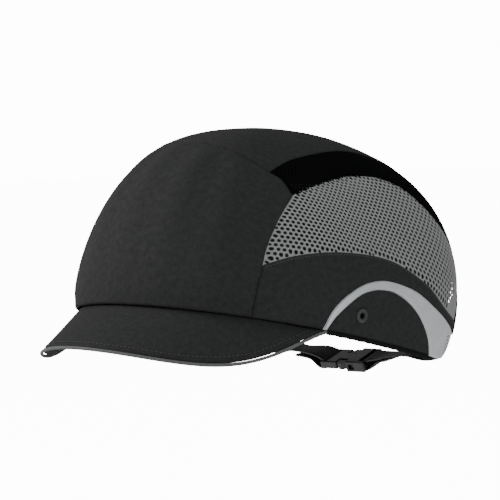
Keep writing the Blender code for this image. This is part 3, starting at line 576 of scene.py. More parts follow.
def noise(tree, vector, scale, detail=2.0, roughness=0.5):
    """The factor of a Noise Texture."""
    node = tree.nodes.new("ShaderNodeTexNoise")
    tree.links.new(vector, node.inputs["Vector"])
    link_or_set(tree, node.inputs["Scale"], scale)
    node.inputs["Detail"].default_value = detail
    node.inputs["Roughness"].default_value = roughness
    return node.outputs["Fac"]


def cells(tree, vector, scale):
    """The distance of a Voronoi Texture."""
    node = tree.nodes.new("ShaderNodeTexVoronoi")
    tree.links.new(vector, node.inputs["Vector"])
    link_or_set(tree, node.inputs["Scale"], scale)
    return node.outputs["Distance"]


def surface_group(name, build):
    """A shader group of one surface: its vector and scale in, its height and shade out."""
    tree = bpy.data.node_groups.get(name)
    if tree is not None:
        return tree
    tree = bpy.data.node_groups.new(name, "ShaderNodeTree")
    tree.interface.new_socket("Vector", in_out="INPUT", socket_type="NodeSocketVector")
    tree.interface.new_socket("Scale", in_out="INPUT", socket_type="NodeSocketFloat")
    tree.interface.new_socket("Height", in_out="OUTPUT", socket_type="NodeSocketFloat")
    tree.interface.new_socket("Shade", in_out="OUTPUT", socket_type="NodeSocketFloat")
    given = tree.nodes.new("NodeGroupInput")
    result = tree.nodes.new("NodeGroupOutput")
    height, shade = build(tree, given.outputs["Vector"], given.outputs["Scale"])
    tree.links.new(height, result.inputs["Height"])
    tree.links.new(shade, result.inputs["Shade"])
    return tree


def woven(tree, vector, scale):
    """Plain weave: threads that pass over and under each other, with uneven yarns."""
    parts = tree.nodes.new("ShaderNodeSeparateXYZ")
    tree.links.new(scaled(tree, vector, scale), parts.inputs[0])
    warp = maths(tree, "SINE", maths(tree, "MULTIPLY", parts.outputs["X"], 2.0 * math.pi))
    weft = maths(tree, "SINE", maths(tree, "MULTIPLY", parts.outputs["Y"], 2.0 * math.pi))
    cross = map_range(tree, maths(tree, "MULTIPLY", warp, weft), -1.0, 1.0, 0.0, 1.0)
    slub = noise(tree, scaled(tree, vector, scale), 0.22, 3.0, 0.65)
    shade = maths(tree, "ADD", maths(tree, "MULTIPLY", cross, 0.3), maths(tree, "MULTIPLY", slub, 0.7))
    return maths(tree, "ADD", cross, maths(tree, "MULTIPLY", slub, 1.3)), shade


def knitted(tree, vector, scale):
    """Knit yarn: short twisted strands in uneven directions."""
    strands = noise(tree, scaled(tree, vector, (1.0, 0.4, 1.0)), scale, 2.0, 0.6)
    twist = noise(tree, scaled(tree, vector, (0.4, 1.0, 1.6)), scale, 1.0, 0.5)
    shade = maths(tree, "MULTIPLY", maths(tree, "ADD", strands, twist), 0.5)
    return maths(tree, "ADD", strands, twist), shade


def terry(tree, vector, scale):
    """Towelling: a pile of small loops."""
    loops = cells(tree, vector, scale)
    height = map_range(tree, loops, 0.0, 0.8, 1.0, 0.0)
    fuzz = noise(tree, vector, maths(tree, "MULTIPLY", scale, 0.35), 3.0, 0.6)
    shade = maths(tree, "ADD", maths(tree, "MULTIPLY", height, 0.6), maths(tree, "MULTIPLY", fuzz, 0.4))
    return height, shade


def beaded(tree, vector, scale):
    """Reflective cloth: fine glass beads in a thin resin, with slightly worn patches."""
    beads = map_range(tree, cells(tree, vector, scale), 0.0, 0.7, 1.0, 0.0)
    patches = noise(tree, vector, maths(tree, "MULTIPLY", scale, 0.035), 3.0, 0.6)
    shade = maths(tree, "ADD", maths(tree, "MULTIPLY", beads, 0.3), maths(tree, "MULTIPLY", patches, 0.7))
    return beads, shade


def grained(tree, vector, scale):
    """Moulded or cut surface: an even fine grain with slow patches."""
    grain = noise(tree, vector, scale, 2.0, 0.5)
    patches = noise(tree, vector, maths(tree, "MULTIPLY", scale, 0.03), 2.0, 0.5)
    shade = maths(tree, "ADD", maths(tree, "MULTIPLY", grain, 0.35), maths(tree, "MULTIPLY", patches, 0.65))
    return grain, shade


def ribbed(tree, vector, scale):
    """Webbing: ribs along its length, crossed by staggered weft stitches."""
    parts = tree.nodes.new("ShaderNodeSeparateXYZ")
    tree.links.new(scaled(tree, vector, scale), parts.inputs[0])
    ribs = maths(tree, "ABSOLUTE", maths(tree, "SINE", maths(tree, "MULTIPLY", parts.outputs["X"], math.pi)))
    row = maths(tree, "FLOOR", parts.outputs["X"])
    along = maths(tree, "ADD", parts.outputs["Y"], maths(tree, "MULTIPLY", row, 0.5))
    weft = maths(tree, "ABSOLUTE", maths(tree, "SINE", maths(tree, "MULTIPLY", along, math.pi)))
    height = maths(tree, "MULTIPLY", ribs, maths(tree, "ADD", maths(tree, "MULTIPLY", weft, 0.6), 0.4))
    fuzz = noise(tree, scaled(tree, vector, scale), 0.8, 3.0, 0.6)
    shade = maths(tree, "ADD", maths(tree, "MULTIPLY", height, 0.5), maths(tree, "MULTIPLY", fuzz, 0.5))
    return height, shade


SURFACES = {
    "woven_cloth": woven,
    "knitted_yarn": knitted,
    "terry_loops": terry,
    "glass_beads": beaded,
    "fine_grain": grained,
    "webbing_ribs": ribbed,
}


# A Mix node's colour sockets, by place: its number and vector sockets have the same names.
MIX_COLOUR_A = 6
MIX_COLOUR_B = 7
MIX_COLOUR_RESULT = 2


def surface_material(name, surface, scale, colour, contrast, roughness, bump, on_cloth=False, plain=None):
    """A material with one surface group that drives its colour, roughness and bump."""
    full_name = f"{name}_finish"
    material = bpy.data.materials.get(full_name)
    if material is not None:
        return material
    material = bpy.data.materials.new(full_name)
    material.use_nodes = True
    tree = material.node_tree
    shader = tree.nodes["Principled BSDF"]
    if on_cloth:
        source = tree.nodes.new("ShaderNodeUVMap")
        source.uv_map = "cloth"
        vector = source.outputs["UV"]
    else:
        vector = tree.nodes.new("ShaderNodeTexCoord").outputs["Object"]
    group = tree.nodes.new("ShaderNodeGroup")
    group.node_tree = surface_group(surface, SURFACES[surface])
    tree.links.new(vector, group.inputs["Vector"])
    group.inputs["Scale"].default_value = scale
    mix = tree.nodes.new("ShaderNodeMix")
    mix.data_type = "RGBA"
    tree.links.new(map_range(tree, group.outputs["Shade"], 0.3, 0.7, 0.0, 1.0), mix.inputs["Factor"])
    mix.inputs[MIX_COLOUR_A].default_value = (*[c * (1.0 - contrast) for c in colour], 1.0)
    mix.inputs[MIX_COLOUR_B].default_value = (*[c * (1.0 + contrast) for c in colour], 1.0)
    tree.links.new(mix.outputs[MIX_COLOUR_RESULT], shader.inputs["Base Color"])
    rough = map_range(tree, group.outputs["Shade"], 0.3, 0.7, roughness + 0.06, roughness - 0.06)
    tree.links.new(rough, shader.inputs["Roughness"])
    relief = tree.nodes.new("ShaderNodeBump")
    relief.inputs["Strength"].default_value = 0.6
    relief.inputs["Distance"].default_value = bump * MM
    tree.links.new(group.outputs["Height"], relief.inputs["Height"])
    tree.links.new(relief.outputs["Normal"], shader.inputs["Normal"])
    for label, value in (plain or {}).items():
        shader.inputs[label].default_value = value
    return material


DULL = {"Specular IOR Level": 0.1}


def charcoal_fabric(colours):
    """Brushed microfibre of the crown and peak."""
    return surface_material(
        "charcoal_fabric", "woven_cloth", 1500.0, colours.charcoal, 0.25, 0.86, 0.2, True, DULL
    )


def black_mesh(colours):
    """Black open knit of the upper crown."""
    matt = {"Specular IOR Level": 0.03}
    return surface_material("black_mesh", "knitted_yarn", 1400.0, colours.black, 0.3, 0.95, 0.12, plain=matt)


def grey_mesh(colours):
    """Grey open knit of the sides."""
    return surface_material(
        "grey_mesh", "knitted_yarn", 1600.0, colours.knit, 0.22, 0.8, 0.16, plain={"Specular IOR Level": 0.3}
    )


def reflective_fabric(colours):
    """Silver reflective cloth."""
    return surface_material(
        "reflective_fabric", "glass_beads", 2600.0, colours.silver, 0.08, 0.46, 0.03, plain={"Metallic": 0.3}
    )


def reflective_piping(colours):
    """Grey reflective piping of the peak."""
    return surface_material(
        "reflective_piping", "woven_cloth", 1100.0, colours.piping, 0.2, 0.8, 0.08, True, DULL
    )


def black_binding(colours):
    """Black folded tape."""
    return surface_material("black_binding", "woven_cloth", 1300.0, colours.tape, 0.3, 0.85, 0.1, True, DULL)


def sewing_thread(colours):
    """Polyester thread."""
    return surface_material("sewing_thread", "knitted_yarn", 2500.0, colours.thread, 0.2, 0.6, 0.05)


def dark_thread(colours):
    """Black polyester thread."""
    return surface_material("dark_thread", "knitted_yarn", 2500.0, colours.black, 0.2, 0.6, 0.05)


def embroidery(colours):
    """Dense thread round the eyelets."""
    return surface_material("embroidery", "knitted_yarn", 2200.0, colours.embroidery, 0.25, 0.6, 0.1)


def towelling(colours):
    """Black towelling of the sweatband."""
    return surface_material(
        "towelling", "terry_loops", 1100.0, colours.towelling, 0.4, 0.95, 0.35, plain=DULL
    )


def shell_plastic(colours):
    """Moulded black plastic."""
    return surface_material("shell_plastic", "fine_grain", 1800.0, colours.shell, 0.12, 0.42, 0.03)


def foam(colours):
    """Closed-cell foam."""
    return surface_material("foam", "terry_loops", 2300.0, colours.foam, 0.2, 0.92, 0.12)


def buckle_plastic(colours):
    """Glossy black plastic of the buckle."""
    return surface_material("buckle_plastic", "fine_grain", 1500.0, colours.buckle, 0.12, 0.28, 0.02)


def webbing(colours):
    """Dark woven webbing."""
    return surface_material("webbing", "webbing_ribs", 850.0, colours.webbing, 0.35, 0.55, 0.12, True)


def label_satin(colours):
    """White woven label with nothing printed on it."""
    return surface_material("label", "woven_cloth", 2200.0, colours.label, 0.05, 0.6, 0.04, True)


# ---------------------------------------------------------------- repeated parts, by node trees


def geometry_tree(name, inputs):
    """A modifier tree with named inputs, its input node and its output node."""
    tree = bpy.data.node_groups.new(name, "GeometryNodeTree")
    tree.interface.new_socket("Geometry", in_out="INPUT", socket_type="NodeSocketGeometry")
    for label, kind in inputs:
        tree.interface.new_socket(label, in_out="INPUT", socket_type=kind)
    tree.interface.new_socket("Geometry", in_out="OUTPUT", socket_type="NodeSocketGeometry")
    tree.is_modifier = True
    return tree, tree.nodes.new("NodeGroupInput"), tree.nodes.new("NodeGroupOutput")


def finish_tree(tree, given, result, geometry_socket):
    """End a tree in Realize Instances, smooth shading and Set Material."""
    realize = tree.nodes.new("GeometryNodeRealizeInstances")
    shade = tree.nodes.new("GeometryNodeSetShadeSmooth")
    dress = tree.nodes.new("GeometryNodeSetMaterial")
    tree.links.new(geometry_socket, realize.inputs["Geometry"])
    tree.links.new(realize.outputs["Geometry"], shade.inputs["Geometry"])
    tree.links.new(shade.outputs["Geometry"], dress.inputs["Geometry"])
    tree.links.new(given.outputs["Material"], dress.inputs["Material"])
    tree.links.new(dress.outputs["Geometry"], result.inputs["Geometry"])


def add_tree(piece, tree, values):
    """Put a tree on a piece and set its inputs by their identifiers."""
    change = piece.modifiers.new(tree.name, "NODES")
    change.node_group = tree
    for item in tree.interface.items_tree:
        if item.in_out == "INPUT" and item.name in values:
            change[item.identifier] = values[item.name]


def stitch_tree():
    """Short thread stitches along the lines of a mesh."""
    tree = bpy.data.node_groups.get("stitch_row")
    if tree is not None:
        return tree
    number = "NodeSocketFloat"
    inputs = [("Spacing", number), ("Stitch Length", number), ("Thread Radius", number)]
    tree, given, result = geometry_tree("stitch_row", [*inputs, ("Material", "NodeSocketMaterial")])
    curve = tree.nodes.new("GeometryNodeMeshToCurve")
    steps = tree.nodes.new("GeometryNodeResampleCurve")
    steps.mode = "LENGTH"
    tangent = tree.nodes.new("GeometryNodeInputTangent")
    turn = tree.nodes.new("FunctionNodeAlignRotationToVector")
    turn.axis = "X"
    bead = tree.nodes.new("GeometryNodeMeshUVSphere")
    bead.inputs["Segments"].default_value = 6
    bead.inputs["Rings"].default_value = 4
    bead.inputs["Radius"].default_value = 1.0
    half = tree.nodes.new("ShaderNodeMath")
    half.operation = "MULTIPLY"
    half.inputs[1].default_value = 0.5
    size = tree.nodes.new("ShaderNodeCombineXYZ")
    place = tree.nodes.new("GeometryNodeInstanceOnPoints")
    tree.links.new(given.outputs["Geometry"], curve.inputs["Mesh"])
    tree.links.new(curve.outputs["Curve"], steps.inputs["Curve"])
    tree.links.new(given.outputs["Spacing"], steps.inputs["Length"])
    tree.links.new(tangent.outputs["Tangent"], turn.inputs["Vector"])
    tree.links.new(given.outputs["Stitch Length"], half.inputs[0])
    tree.links.new(half.outputs[0], size.inputs["X"])
    tree.links.new(given.outputs["Thread Radius"], size.inputs["Y"])
    tree.links.new(given.outputs["Thread Radius"], size.inputs["Z"])
    tree.links.new(steps.outputs["Curve"], place.inputs["Points"])
    tree.links.new(bead.outputs["Mesh"], place.inputs["Instance"])
    tree.links.new(turn.outputs["Rotation"], place.inputs["Rotation"])
    tree.links.new(size.outputs["Vector"], place.inputs["Scale"])
    finish_tree(tree, given, result, place.outputs["Instances"])
    return tree


def knit_tree():
    """Open knit: one hole inside each cell round a point marked open."""
    tree = bpy.data.node_groups.get("open_knit")
    if tree is not None:
        return tree
    inputs = [("Opening", "NodeSocketFloat"), ("Material", "NodeSocketMaterial")]
    tree, given, result = geometry_tree("open_knit", inputs)
    dual = tree.nodes.new("GeometryNodeDualMesh")
    dual.inputs["Keep Boundaries"].default_value = True
    mark = tree.nodes.new("GeometryNodeInputNamedAttribute")
    mark.data_type = "FLOAT"
    mark.inputs["Name"].default_value = "open"
    above = tree.nodes.new("FunctionNodeCompare")
    above.data_type = "FLOAT"
    above.operation = "GREATER_THAN"
    above.inputs["B"].default_value = 0.5
    lift = tree.nodes.new("GeometryNodeExtrudeMesh")
    lift.mode = "FACES"
    lift.inputs["Offset Scale"].default_value = 0.0
    lift.inputs["Individual"].default_value = True
    shrink = tree.nodes.new("GeometryNodeScaleElements")
    shrink.domain = "FACE"
    drop = tree.nodes.new("GeometryNodeDeleteGeometry")
    drop.domain = "FACE"
    rounder = tree.nodes.new("GeometryNodeSubdivisionSurface")
    rounder.inputs["Level"].default_value = 1
    tree.links.new(given.outputs["Geometry"], dual.inputs["Mesh"])
    tree.links.new(mark.outputs["Attribute"], above.inputs["A"])
    tree.links.new(dual.outputs["Dual Mesh"], lift.inputs["Mesh"])
    tree.links.new(above.outputs["Result"], lift.inputs["Selection"])
    tree.links.new(lift.outputs["Mesh"], shrink.inputs["Geometry"])
    tree.links.new(lift.outputs["Top"], shrink.inputs["Selection"])
    tree.links.new(given.outputs["Opening"], shrink.inputs["Scale"])
    tree.links.new(shrink.outputs["Geometry"], drop.inputs["Geometry"])
    tree.links.new(lift.outputs["Top"], drop.inputs["Selection"])
    tree.links.new(drop.outputs["Geometry"], rounder.inputs["Mesh"])
    finish_tree(tree, given, result, rounder.outputs["Mesh"])
    return tree


def add_stitches(name, rows, material, sizes, spacing=None):
    """Rows of stitches along lines in millimetres."""
    points, edges = [], []
    for row in rows:
        first = len(points)
        points += (np.asarray(row) * MM).tolist()
        edges += [(i, i + 1) for i in range(first, len(points) - 1)]
    mesh = bpy.data.meshes.new(name)
    mesh.from_pydata(points, edges, [])
    piece = new_piece(name, mesh, material)
    pitch = sizes.stitch_pitch if spacing is None else spacing
    values = {
        "Spacing": pitch,
        "Stitch Length": pitch * 0.8,
        "Thread Radius": sizes.thread_radius,
        "Material": material,
    }
    add_tree(piece, stitch_tree(), values)
    settle(applied(piece), ())


# ---------------------------------------------------------------- crown


def front_folds(points):
    """Soft upright pulls of the front panel, deeper towards the top seam."""
    turn = np.arctan2(points[..., 0], 40.0 - points[..., 1]) * 120.0
    rise = np.clip((points[..., 2] - 15.0) / 85.0, 0.0, 1.0)
    flat = np.stack([turn, points[..., 2]], axis=-1)
    pulls = soft_waves(flat, (24.0, 190.0), 11) * (0.1 + 0.55 * rise**1.5)
    return pulls + soft_waves(points, (60.0, 60.0, 60.0), 12) * 0.25


def top_folds(points):
    """Front-to-back pulls of the top panel, fading to the rear."""
    ahead = np.clip((20.0 - points[..., 1]) / 75.0, 0.0, 1.0)
    flat = points[..., :2]
    pulls = soft_waves(flat, (24.0, 150.0), 21) * (0.12 + 0.5 * ahead)
    return pulls + soft_waves(flat, (50.0, 60.0), 22) * 0.2


def side_folds(points):
    """Slack of the side panel, with slanting creases above the silver band."""
    flat = np.stack([points[..., 1] + points[..., 2] * 0.8, points[..., 2] * 2.2], axis=-1)
    return soft_waves(flat, (46.0, 60.0), 31) * 0.6


def small_folds(points):
    """Slight unevenness of a narrow piece of cloth."""
    return soft_waves(points, (35.0, 35.0, 35.0), 41) * 0.16


def relief(ground, outline, folds, height):
    """Rise of a panel above the crown: folds in its middle and a dip along its seams."""
    away = distance_to(ground, outline)
    inner = smooth_step(away / 11.0)
    dip = SEAM_DIP * (1.0 - smooth_step(away / SEAM_REACH)) ** 1.3
    roll = 0.12 * np.exp(-(((away - 2.0) / 1.1) ** 2))
    return folds(ground) * inner * height + roll - dip


def crown_panel(name, lines, folds, material, sizes, extra=None):
    """A cloth panel of the crown between four sewing lines."""
    south, north, west, east = lines
    chart = Chart(np.concatenate([south, north]))
    places = coons_places(chart, lines, sizes.cloth_step / MM)
    ground = chart.crown(places)
    outline = joined(south, east, north[::-1], west[::-1])
    rise = relief(ground, outline, folds, sizes.fold_height / MM)
    if extra is not None:
        rise = rise + extra(ground)
    outer = ground + crown_normal(ground) * rise[..., None]
    return add_sheet(name, outer, on_crown(ground, FABRIC), places, material)


def mirror_piece(piece, name):
    """A copy of a left piece on the wearer's right."""
    mesh = piece.data.copy()
    mesh.name = name
    mesh.transform(Matrix.Scale(-1.0, 4, (1.0, 0.0, 0.0)))
    mesh.flip_normals()
    copy = bpy.data.objects.new(name, mesh)
    bpy.context.scene.collection.objects.link(copy)
    return copy


def settle_pair(left, nodes):
    """Mirror a left piece, and let both ride on the cap and stand for their nodes."""
    right = mirror_piece(left, left.name.replace("_left", "_right"))
    settle(left, [node + "_left" for node in nodes])
    settle(right, [node + "_right" for node in nodes])


def inside_outline(places, outline):
    """Which places lie inside a closed outline."""
    x, y = places[:, 0][:, None], places[:, 1][:, None]
    x0, y0 = outline[:, 0], outline[:, 1]
    x1, y1 = np.roll(x0, -1), np.roll(y0, -1)
    crosses = (y0 > y) != (y1 > y)
    slope = np.where(y1 == y0, 1.0, y1 - y0)
    hits = crosses & (x < (x1 - x0) * (y - y0) / slope + x0)
    return hits.sum(axis=1) % 2 == 1


def knit_panel(name, lines, pitch, opening, material):
    """An open-knit panel: a staggered lattice of holes, with a margin that runs under its neighbours."""
    south, north, west, east = lines
    chart = Chart(np.concatenate([south, north]))
    outline = joined(south, east, north[::-1], west[::-1])
    seam_places = chart.flat(spaced(outline, pitch * 0.4)[:-1])
    ways = np.roll(seam_places, -1, axis=0) - np.roll(seam_places, 1, axis=0)
    out = np.stack([ways[:, 1], -ways[:, 0]], axis=1)
    out /= np.linalg.norm(out, axis=1, keepdims=True)
    if inside_outline(seam_places[:1] + out[:1] * 0.05, seam_places)[0]:
        out = -out
    border = seam_places + out * KNIT_MARGIN
    turn = math.radians(KNIT_SLANT)
    axes = np.array([[math.cos(turn), math.sin(turn)], [-math.sin(turn), math.cos(turn)]])
    reach = int(150.0 / pitch)
    rows = []
    for j in range(-reach, reach + 1):
        shift = 0.5 * (j % 2)
        rows += [((i + shift) * pitch, j * pitch * 0.866) for i in range(-reach, reach + 1)]
    lattice = np.array(rows) @ axes
    lattice = lattice[inside_outline(lattice, border)]
    clear = np.linalg.norm(lattice[:, None] - border[None], axis=2).min(axis=1)
    lattice = lattice[clear > pitch * 0.45]
    count = len(border)
    given = [Vector(p) for p in np.concatenate([border, lattice])]
    edges = [(i, (i + 1) % count) for i in range(count)]
    places, _, faces, origins, _, _ = geometry.delaunay_2d_cdt(given, edges, [], 1, 1e-6)
    places = np.array([tuple(p) for p in places])
    ground = chart.crown(places)
    away = np.where(inside_outline(places, seam_places), distance_to(ground, outline), 0.0)
    rise = small_folds(ground) * smooth_step(away / 9.0) - KNIT_DIP * (1.0 - smooth_step(away / 1.6))
    points = ground + crown_normal(ground) * rise[:, None]
    mesh = bpy.data.meshes.new(name)
    mesh.from_pydata((points * MM).tolist(), [], [tuple(reversed(face)) for face in faces])
    mark = mesh.attributes.new("open", "FLOAT", "POINT")
    azimuths = np.degrees(np.arctan2(ground[:, 1], ground[:, 0]))
    backed = ground[:, 2] > shell_edge_height(azimuths) + KNIT_LINED
    inner = np.array([min(origin, default=0) >= count for origin in origins])
    mark.data.foreach_set("value", (inner & backed).astype(float))
    piece = new_piece(name, mesh, material)
    add_tree(piece, knit_tree(), {"Opening": opening, "Material": material})
    wall = piece.modifiers.new("thickness", "SOLIDIFY")
    wall.thickness = KNIT_THICKNESS * MM
    wall.offset = -1.0
    return applied(piece)


# ---------------------------------------------------------------- peak


def peak_edge(turns):
    """Outer edge of the peak. A turn of 0 is its middle and 90 its left corner."""
    angle = np.radians(turns)
    sine, cosine = np.sin(angle), np.cos(angle)
    x = np.copysign(PEAK_HALF_WIDTH * np.abs(sine) ** 0.976, sine)
    y = PEAK_ROOT_Y - PEAK_REACH * np.abs(cosine) ** 1.283
    corner = np.abs(sine) ** 6
    sag = PEAK_SAG * (x / 90.0) ** 2
    z = (PEAK_TIP_Z - sag) * (1.0 - corner) + PEAK_CORNER_Z * corner
    return np.stack([x, y, z], axis=-1)


def peak_root(turns):
    """Inner edge of the peak, just under the crown's rim."""
    share = (90.0 + PEAK_CORNER_TURN) / 90.0
    points = rim_at(-90.0 + np.asarray(turns) * share)
    flat = crown_normal(points) * (1.0, 1.0, 0.0)
    flat /= np.linalg.norm(flat, axis=-1, keepdims=True)
    return points - flat * PEAK_TUCK - np.array([0.0, 0.0, PEAK_DROP])


def peak_grid(turns, shares, trim):
    """Points of the peak's upper face, from its root to its edge less a trim, and its normals."""
    root, edge = peak_root(turns)[None], peak_edge(turns)[None]
    length = np.linalg.norm(edge - root, axis=-1, keepdims=True)
    reach = shares[:, None, None] * (1.0 - trim / length)
    bulge = 4.0 * reach * (1.0 - reach) * PEAK_BULGE * length
    grid = root * (1.0 - reach) + edge * reach + np.array([0.0, 0.0, 1.0]) * bulge
    normal = np.cross(np.gradient(grid, axis=0), np.gradient(grid, axis=1))
    normal /= np.linalg.norm(normal, axis=2, keepdims=True)
    normal *= np.where(normal[:, :, 2:3] < 0.0, -1.0, 1.0)
    away = (1.0 - reach[..., 0]) * length[..., 0]
    return grid, normal, away


def peak_outer_edge():
    """The middle line of the peak's edge, with its outward and upward ways."""
    path = spaced(peak_edge(np.linspace(-88.5, 88.5, 700)), 0.8) - np.array([0.0, 0.0, PIPING_DROP])
    ways = np.gradient(path, axis=0)
    out = np.stack([ways[:, 1], -ways[:, 0], np.zeros(len(ways))], axis=-1)
    out /= np.linalg.norm(out, axis=1, keepdims=True)
    up = np.tile((0.0, 0.0, 1.0), (len(path), 1))
    return path, out, up


# ---------------------------------------------------------------- inside


def ray_points(azimuths, elevations, depth):
    """Points under the crown along rays. An azimuth of -90 is the front and 0 the left side."""
    a, e = np.radians(azimuths), np.radians(elevations)
    rays = np.stack([np.cos(e) * np.cos(a), np.cos(e) * np.sin(a), np.sin(e)], axis=-1)
    return on_crown(CROWN_CENTRE + rays * 50.0, depth)


def shell_edge_height(azimuths):
    """Height of the shell's lower edge round the head: low at the sides, arched at the rear."""
    turns = [0.0, 45.0, 90.0, 115.0, 128.0, 140.0, 150.0, 165.0, 180.0]
    heights = [43.0, 35.0, 17.0, 8.0, 7.0, 24.0, 42.0, 57.0, 61.0]
    total = 0.0
    for shift in (-6.0, -3.0, 0.0, 3.0, 6.0):
        round_front = np.abs((azimuths + shift + 270.0) % 360.0 - 180.0)
        total = total + np.interp(round_front, turns, heights)
    return total / 5.0


def edge_elevations(azimuths, heights, depth):
    """Elevations of the rays that meet a depth under the crown at given heights."""
    low, high = np.full_like(azimuths, -50.0), np.full_like(azimuths, 85.0)
    for _ in range(22):
        middle = 0.5 * (low + high)
        below = ray_points(azimuths, middle, depth)[..., 2] < heights
        low, high = np.where(below, middle, low), np.where(below, high, middle)
    return low


def dome_grids(lowest, rows, depths):
    """Rings of points from an edge's elevations to the top, at an outer and an inner depth."""
    around = len(lowest)
    azimuths = -90.0 + 360.0 * np.arange(around) / around
    shares = np.arange(rows)[:, None] / rows
    elevations = lowest + (90.0 - lowest) * shares
    azimuths = np.tile(azimuths, (rows, 1))
    return [ray_points(azimuths, elevations, depth) for depth in depths(shares, elevations)]


def dome_mesh(name, outer, inner):
    """A closed dome from two sets of rings."""
    rows, around = outer.shape[:2]
    points = np.concatenate([outer.reshape(-1, 3), inner.reshape(-1, 3)])
    top, shift = (rows - 1) * around, rows * around
    lid = set(range(top, top + around)) | set(range(shift + top, shift + top + around))
    faces = [f for f in sheet_faces(rows, around, closed=True) if not set(f) <= lid]
    tops = np.stack([outer[-1].mean(axis=0), inner[-1].mean(axis=0)])
    last = len(points)
    for i in range(around):
        k = (i + 1) % around
        faces.append((top + i, top + k, last))
        faces.append((shift + top + k, shift + top + i, last + 1))
    return new_mesh(name, np.concatenate([points, tops]), faces)


def pad_depths(profile, crown):
    """Outer and inner depth of a pad whose face is crowned by a profile of 0 to 1."""
    outer = LINING_DEPTH + 0.35 * (1.0 - profile)
    return outer, LINING_DEPTH + 1.3 + (PAD_THICKNESS - 1.3 + crown) * profile


def rounded_pad(name, azimuths, elevations, crown, material):
    """A foam pad with rounded corners and a crowned face."""
    rows, columns, corner = 41, 61, 0.18
    v, u = np.meshgrid(np.linspace(-1.0, 1.0, rows), np.linspace(-1.0, 1.0, columns), indexing="ij")
    a = u * (1.0 - corner * v * v)
    b = v * (1.0 - corner * u * u)
    azimuth = 0.5 * (azimuths[0] + azimuths[1] + a * (azimuths[1] - azimuths[0]))
    elevation = 0.5 * (elevations[0] + elevations[1] + b * (elevations[1] - elevations[0]))
    profile = ((1.0 - np.abs(u) ** 8) * (1.0 - np.abs(v) ** 5)) ** 0.5
    outer_depth, inner_depth = pad_depths(profile, crown)
    outer = ray_points(azimuth, elevation, outer_depth)
    inner = ray_points(azimuth, elevation, inner_depth + 0.12 * soft_waves(outer, (22.0, 22.0, 22.0), 61))
    places = np.stack([azimuth, elevation], axis=-1)
    return add_sheet(name, outer, inner, places, material)


# ---------------------------------------------------------------- strap


def buckle_to_world(x, z):
    """Place and roll of a point of the buckle's middle plane."""
    roll = math.radians(BUCKLE_ROLL)
    y = BUCKLE_CENTRE[1] - z * math.sin(roll)
    return (BUCKLE_CENTRE[0] + x, y, BUCKLE_CENTRE[2] + z * math.cos(roll), BUCKLE_ROLL)


def bar_loop(bar, side):
    """Stations of webbing that passes over a buckle's bar and returns under it."""
    clear = 0.5 * (BAR_SIZE + WEBBING_THICKNESS) + BAR_CLEARANCE
    angles = [math.radians(d) for d in (90.0, 135.0, 180.0, 225.0, 270.0)]
    return [buckle_to_world(bar + side * clear * math.cos(a), clear * math.sin(a)) for a in angles]


def ribbon(name, stations, material):
    """A band of webbing along stations of (x, y, z, roll of its width)."""
    dense = curve_through(stations, 9)
    centres, roll = dense[:, :3], np.radians(dense[:, 3])
    width = np.stack([np.zeros_like(roll), np.cos(roll), np.sin(roll)], axis=-1)
    normal = np.cross(np.gradient(centres, axis=0), width)
    normal /= np.linalg.norm(normal, axis=1, keepdims=True)
    profile = oval(0.5 * WEBBING_WIDTH, 0.5 * WEBBING_THICKNESS, 28, 9.0)
    return add_bar(name, sweep(centres, width, normal, profile), centres, profile[:, 0], material)


# ---------------------------------------------------------------- settings


class BumpCapSizes(PropertyGroup):
    """Sizes that may be changed without changing the cap's own size."""

    cloth_step: FloatProperty(
        name="Cloth Step", description="Distance between the cloth's mesh lines", default=0.0018,
        min=0.001, subtype="DISTANCE", unit="LENGTH",
    )
    fold_height: FloatProperty(
        name="Fold Height", description="Height of the cloth's soft folds", default=0.001,
        min=0.0, subtype="DISTANCE", unit="LENGTH",
    )
    knit_pitch: FloatProperty(
        name="Knit Pitch", description="Distance between the holes of the grey knit", default=0.0031,
        min=0.002, subtype="DISTANCE", unit="LENGTH",
    )
    black_pitch: FloatProperty(
        name="Black Knit Pitch", description="Distance between the holes of the black knit", default=0.0026,
        min=0.002, subtype="DISTANCE", unit="LENGTH",
    )
    knit_opening: FloatProperty(
        name="Knit Opening", description="Width of a hole as a share of its cell", default=0.73,
        min=0.1, max=0.9, subtype="FACTOR",
    )
    stitch_pitch: FloatProperty(
        name="Stitch Pitch", description="Distance from one stitch to the next", default=0.0024,
        min=0.001, subtype="DISTANCE", unit="LENGTH",
    )
    thread_radius: FloatProperty(
        name="Thread Radius", description="Radius of the sewing thread", default=0.00022,
        min=0.0001, subtype="DISTANCE", unit="LENGTH",
    )
    pad_crown: FloatProperty(
        name="Pad Crown", description="How far the foam pads swell in their middle", default=0.0005,
        min=0.0, max=0.002, subtype="DISTANCE", unit="LENGTH",
    )
    pucker_count: IntProperty(
        name="Eyelet Puckers", description="Number of puckers round each eyelet", default=4, min=0, max=12,
    )


def colour_property(name, description, default):
    """A colour that the user may change."""
    return FloatVectorProperty(
        name=name, description=description, default=default, size=3, min=0.0, max=1.0, subtype="COLOR",
    )


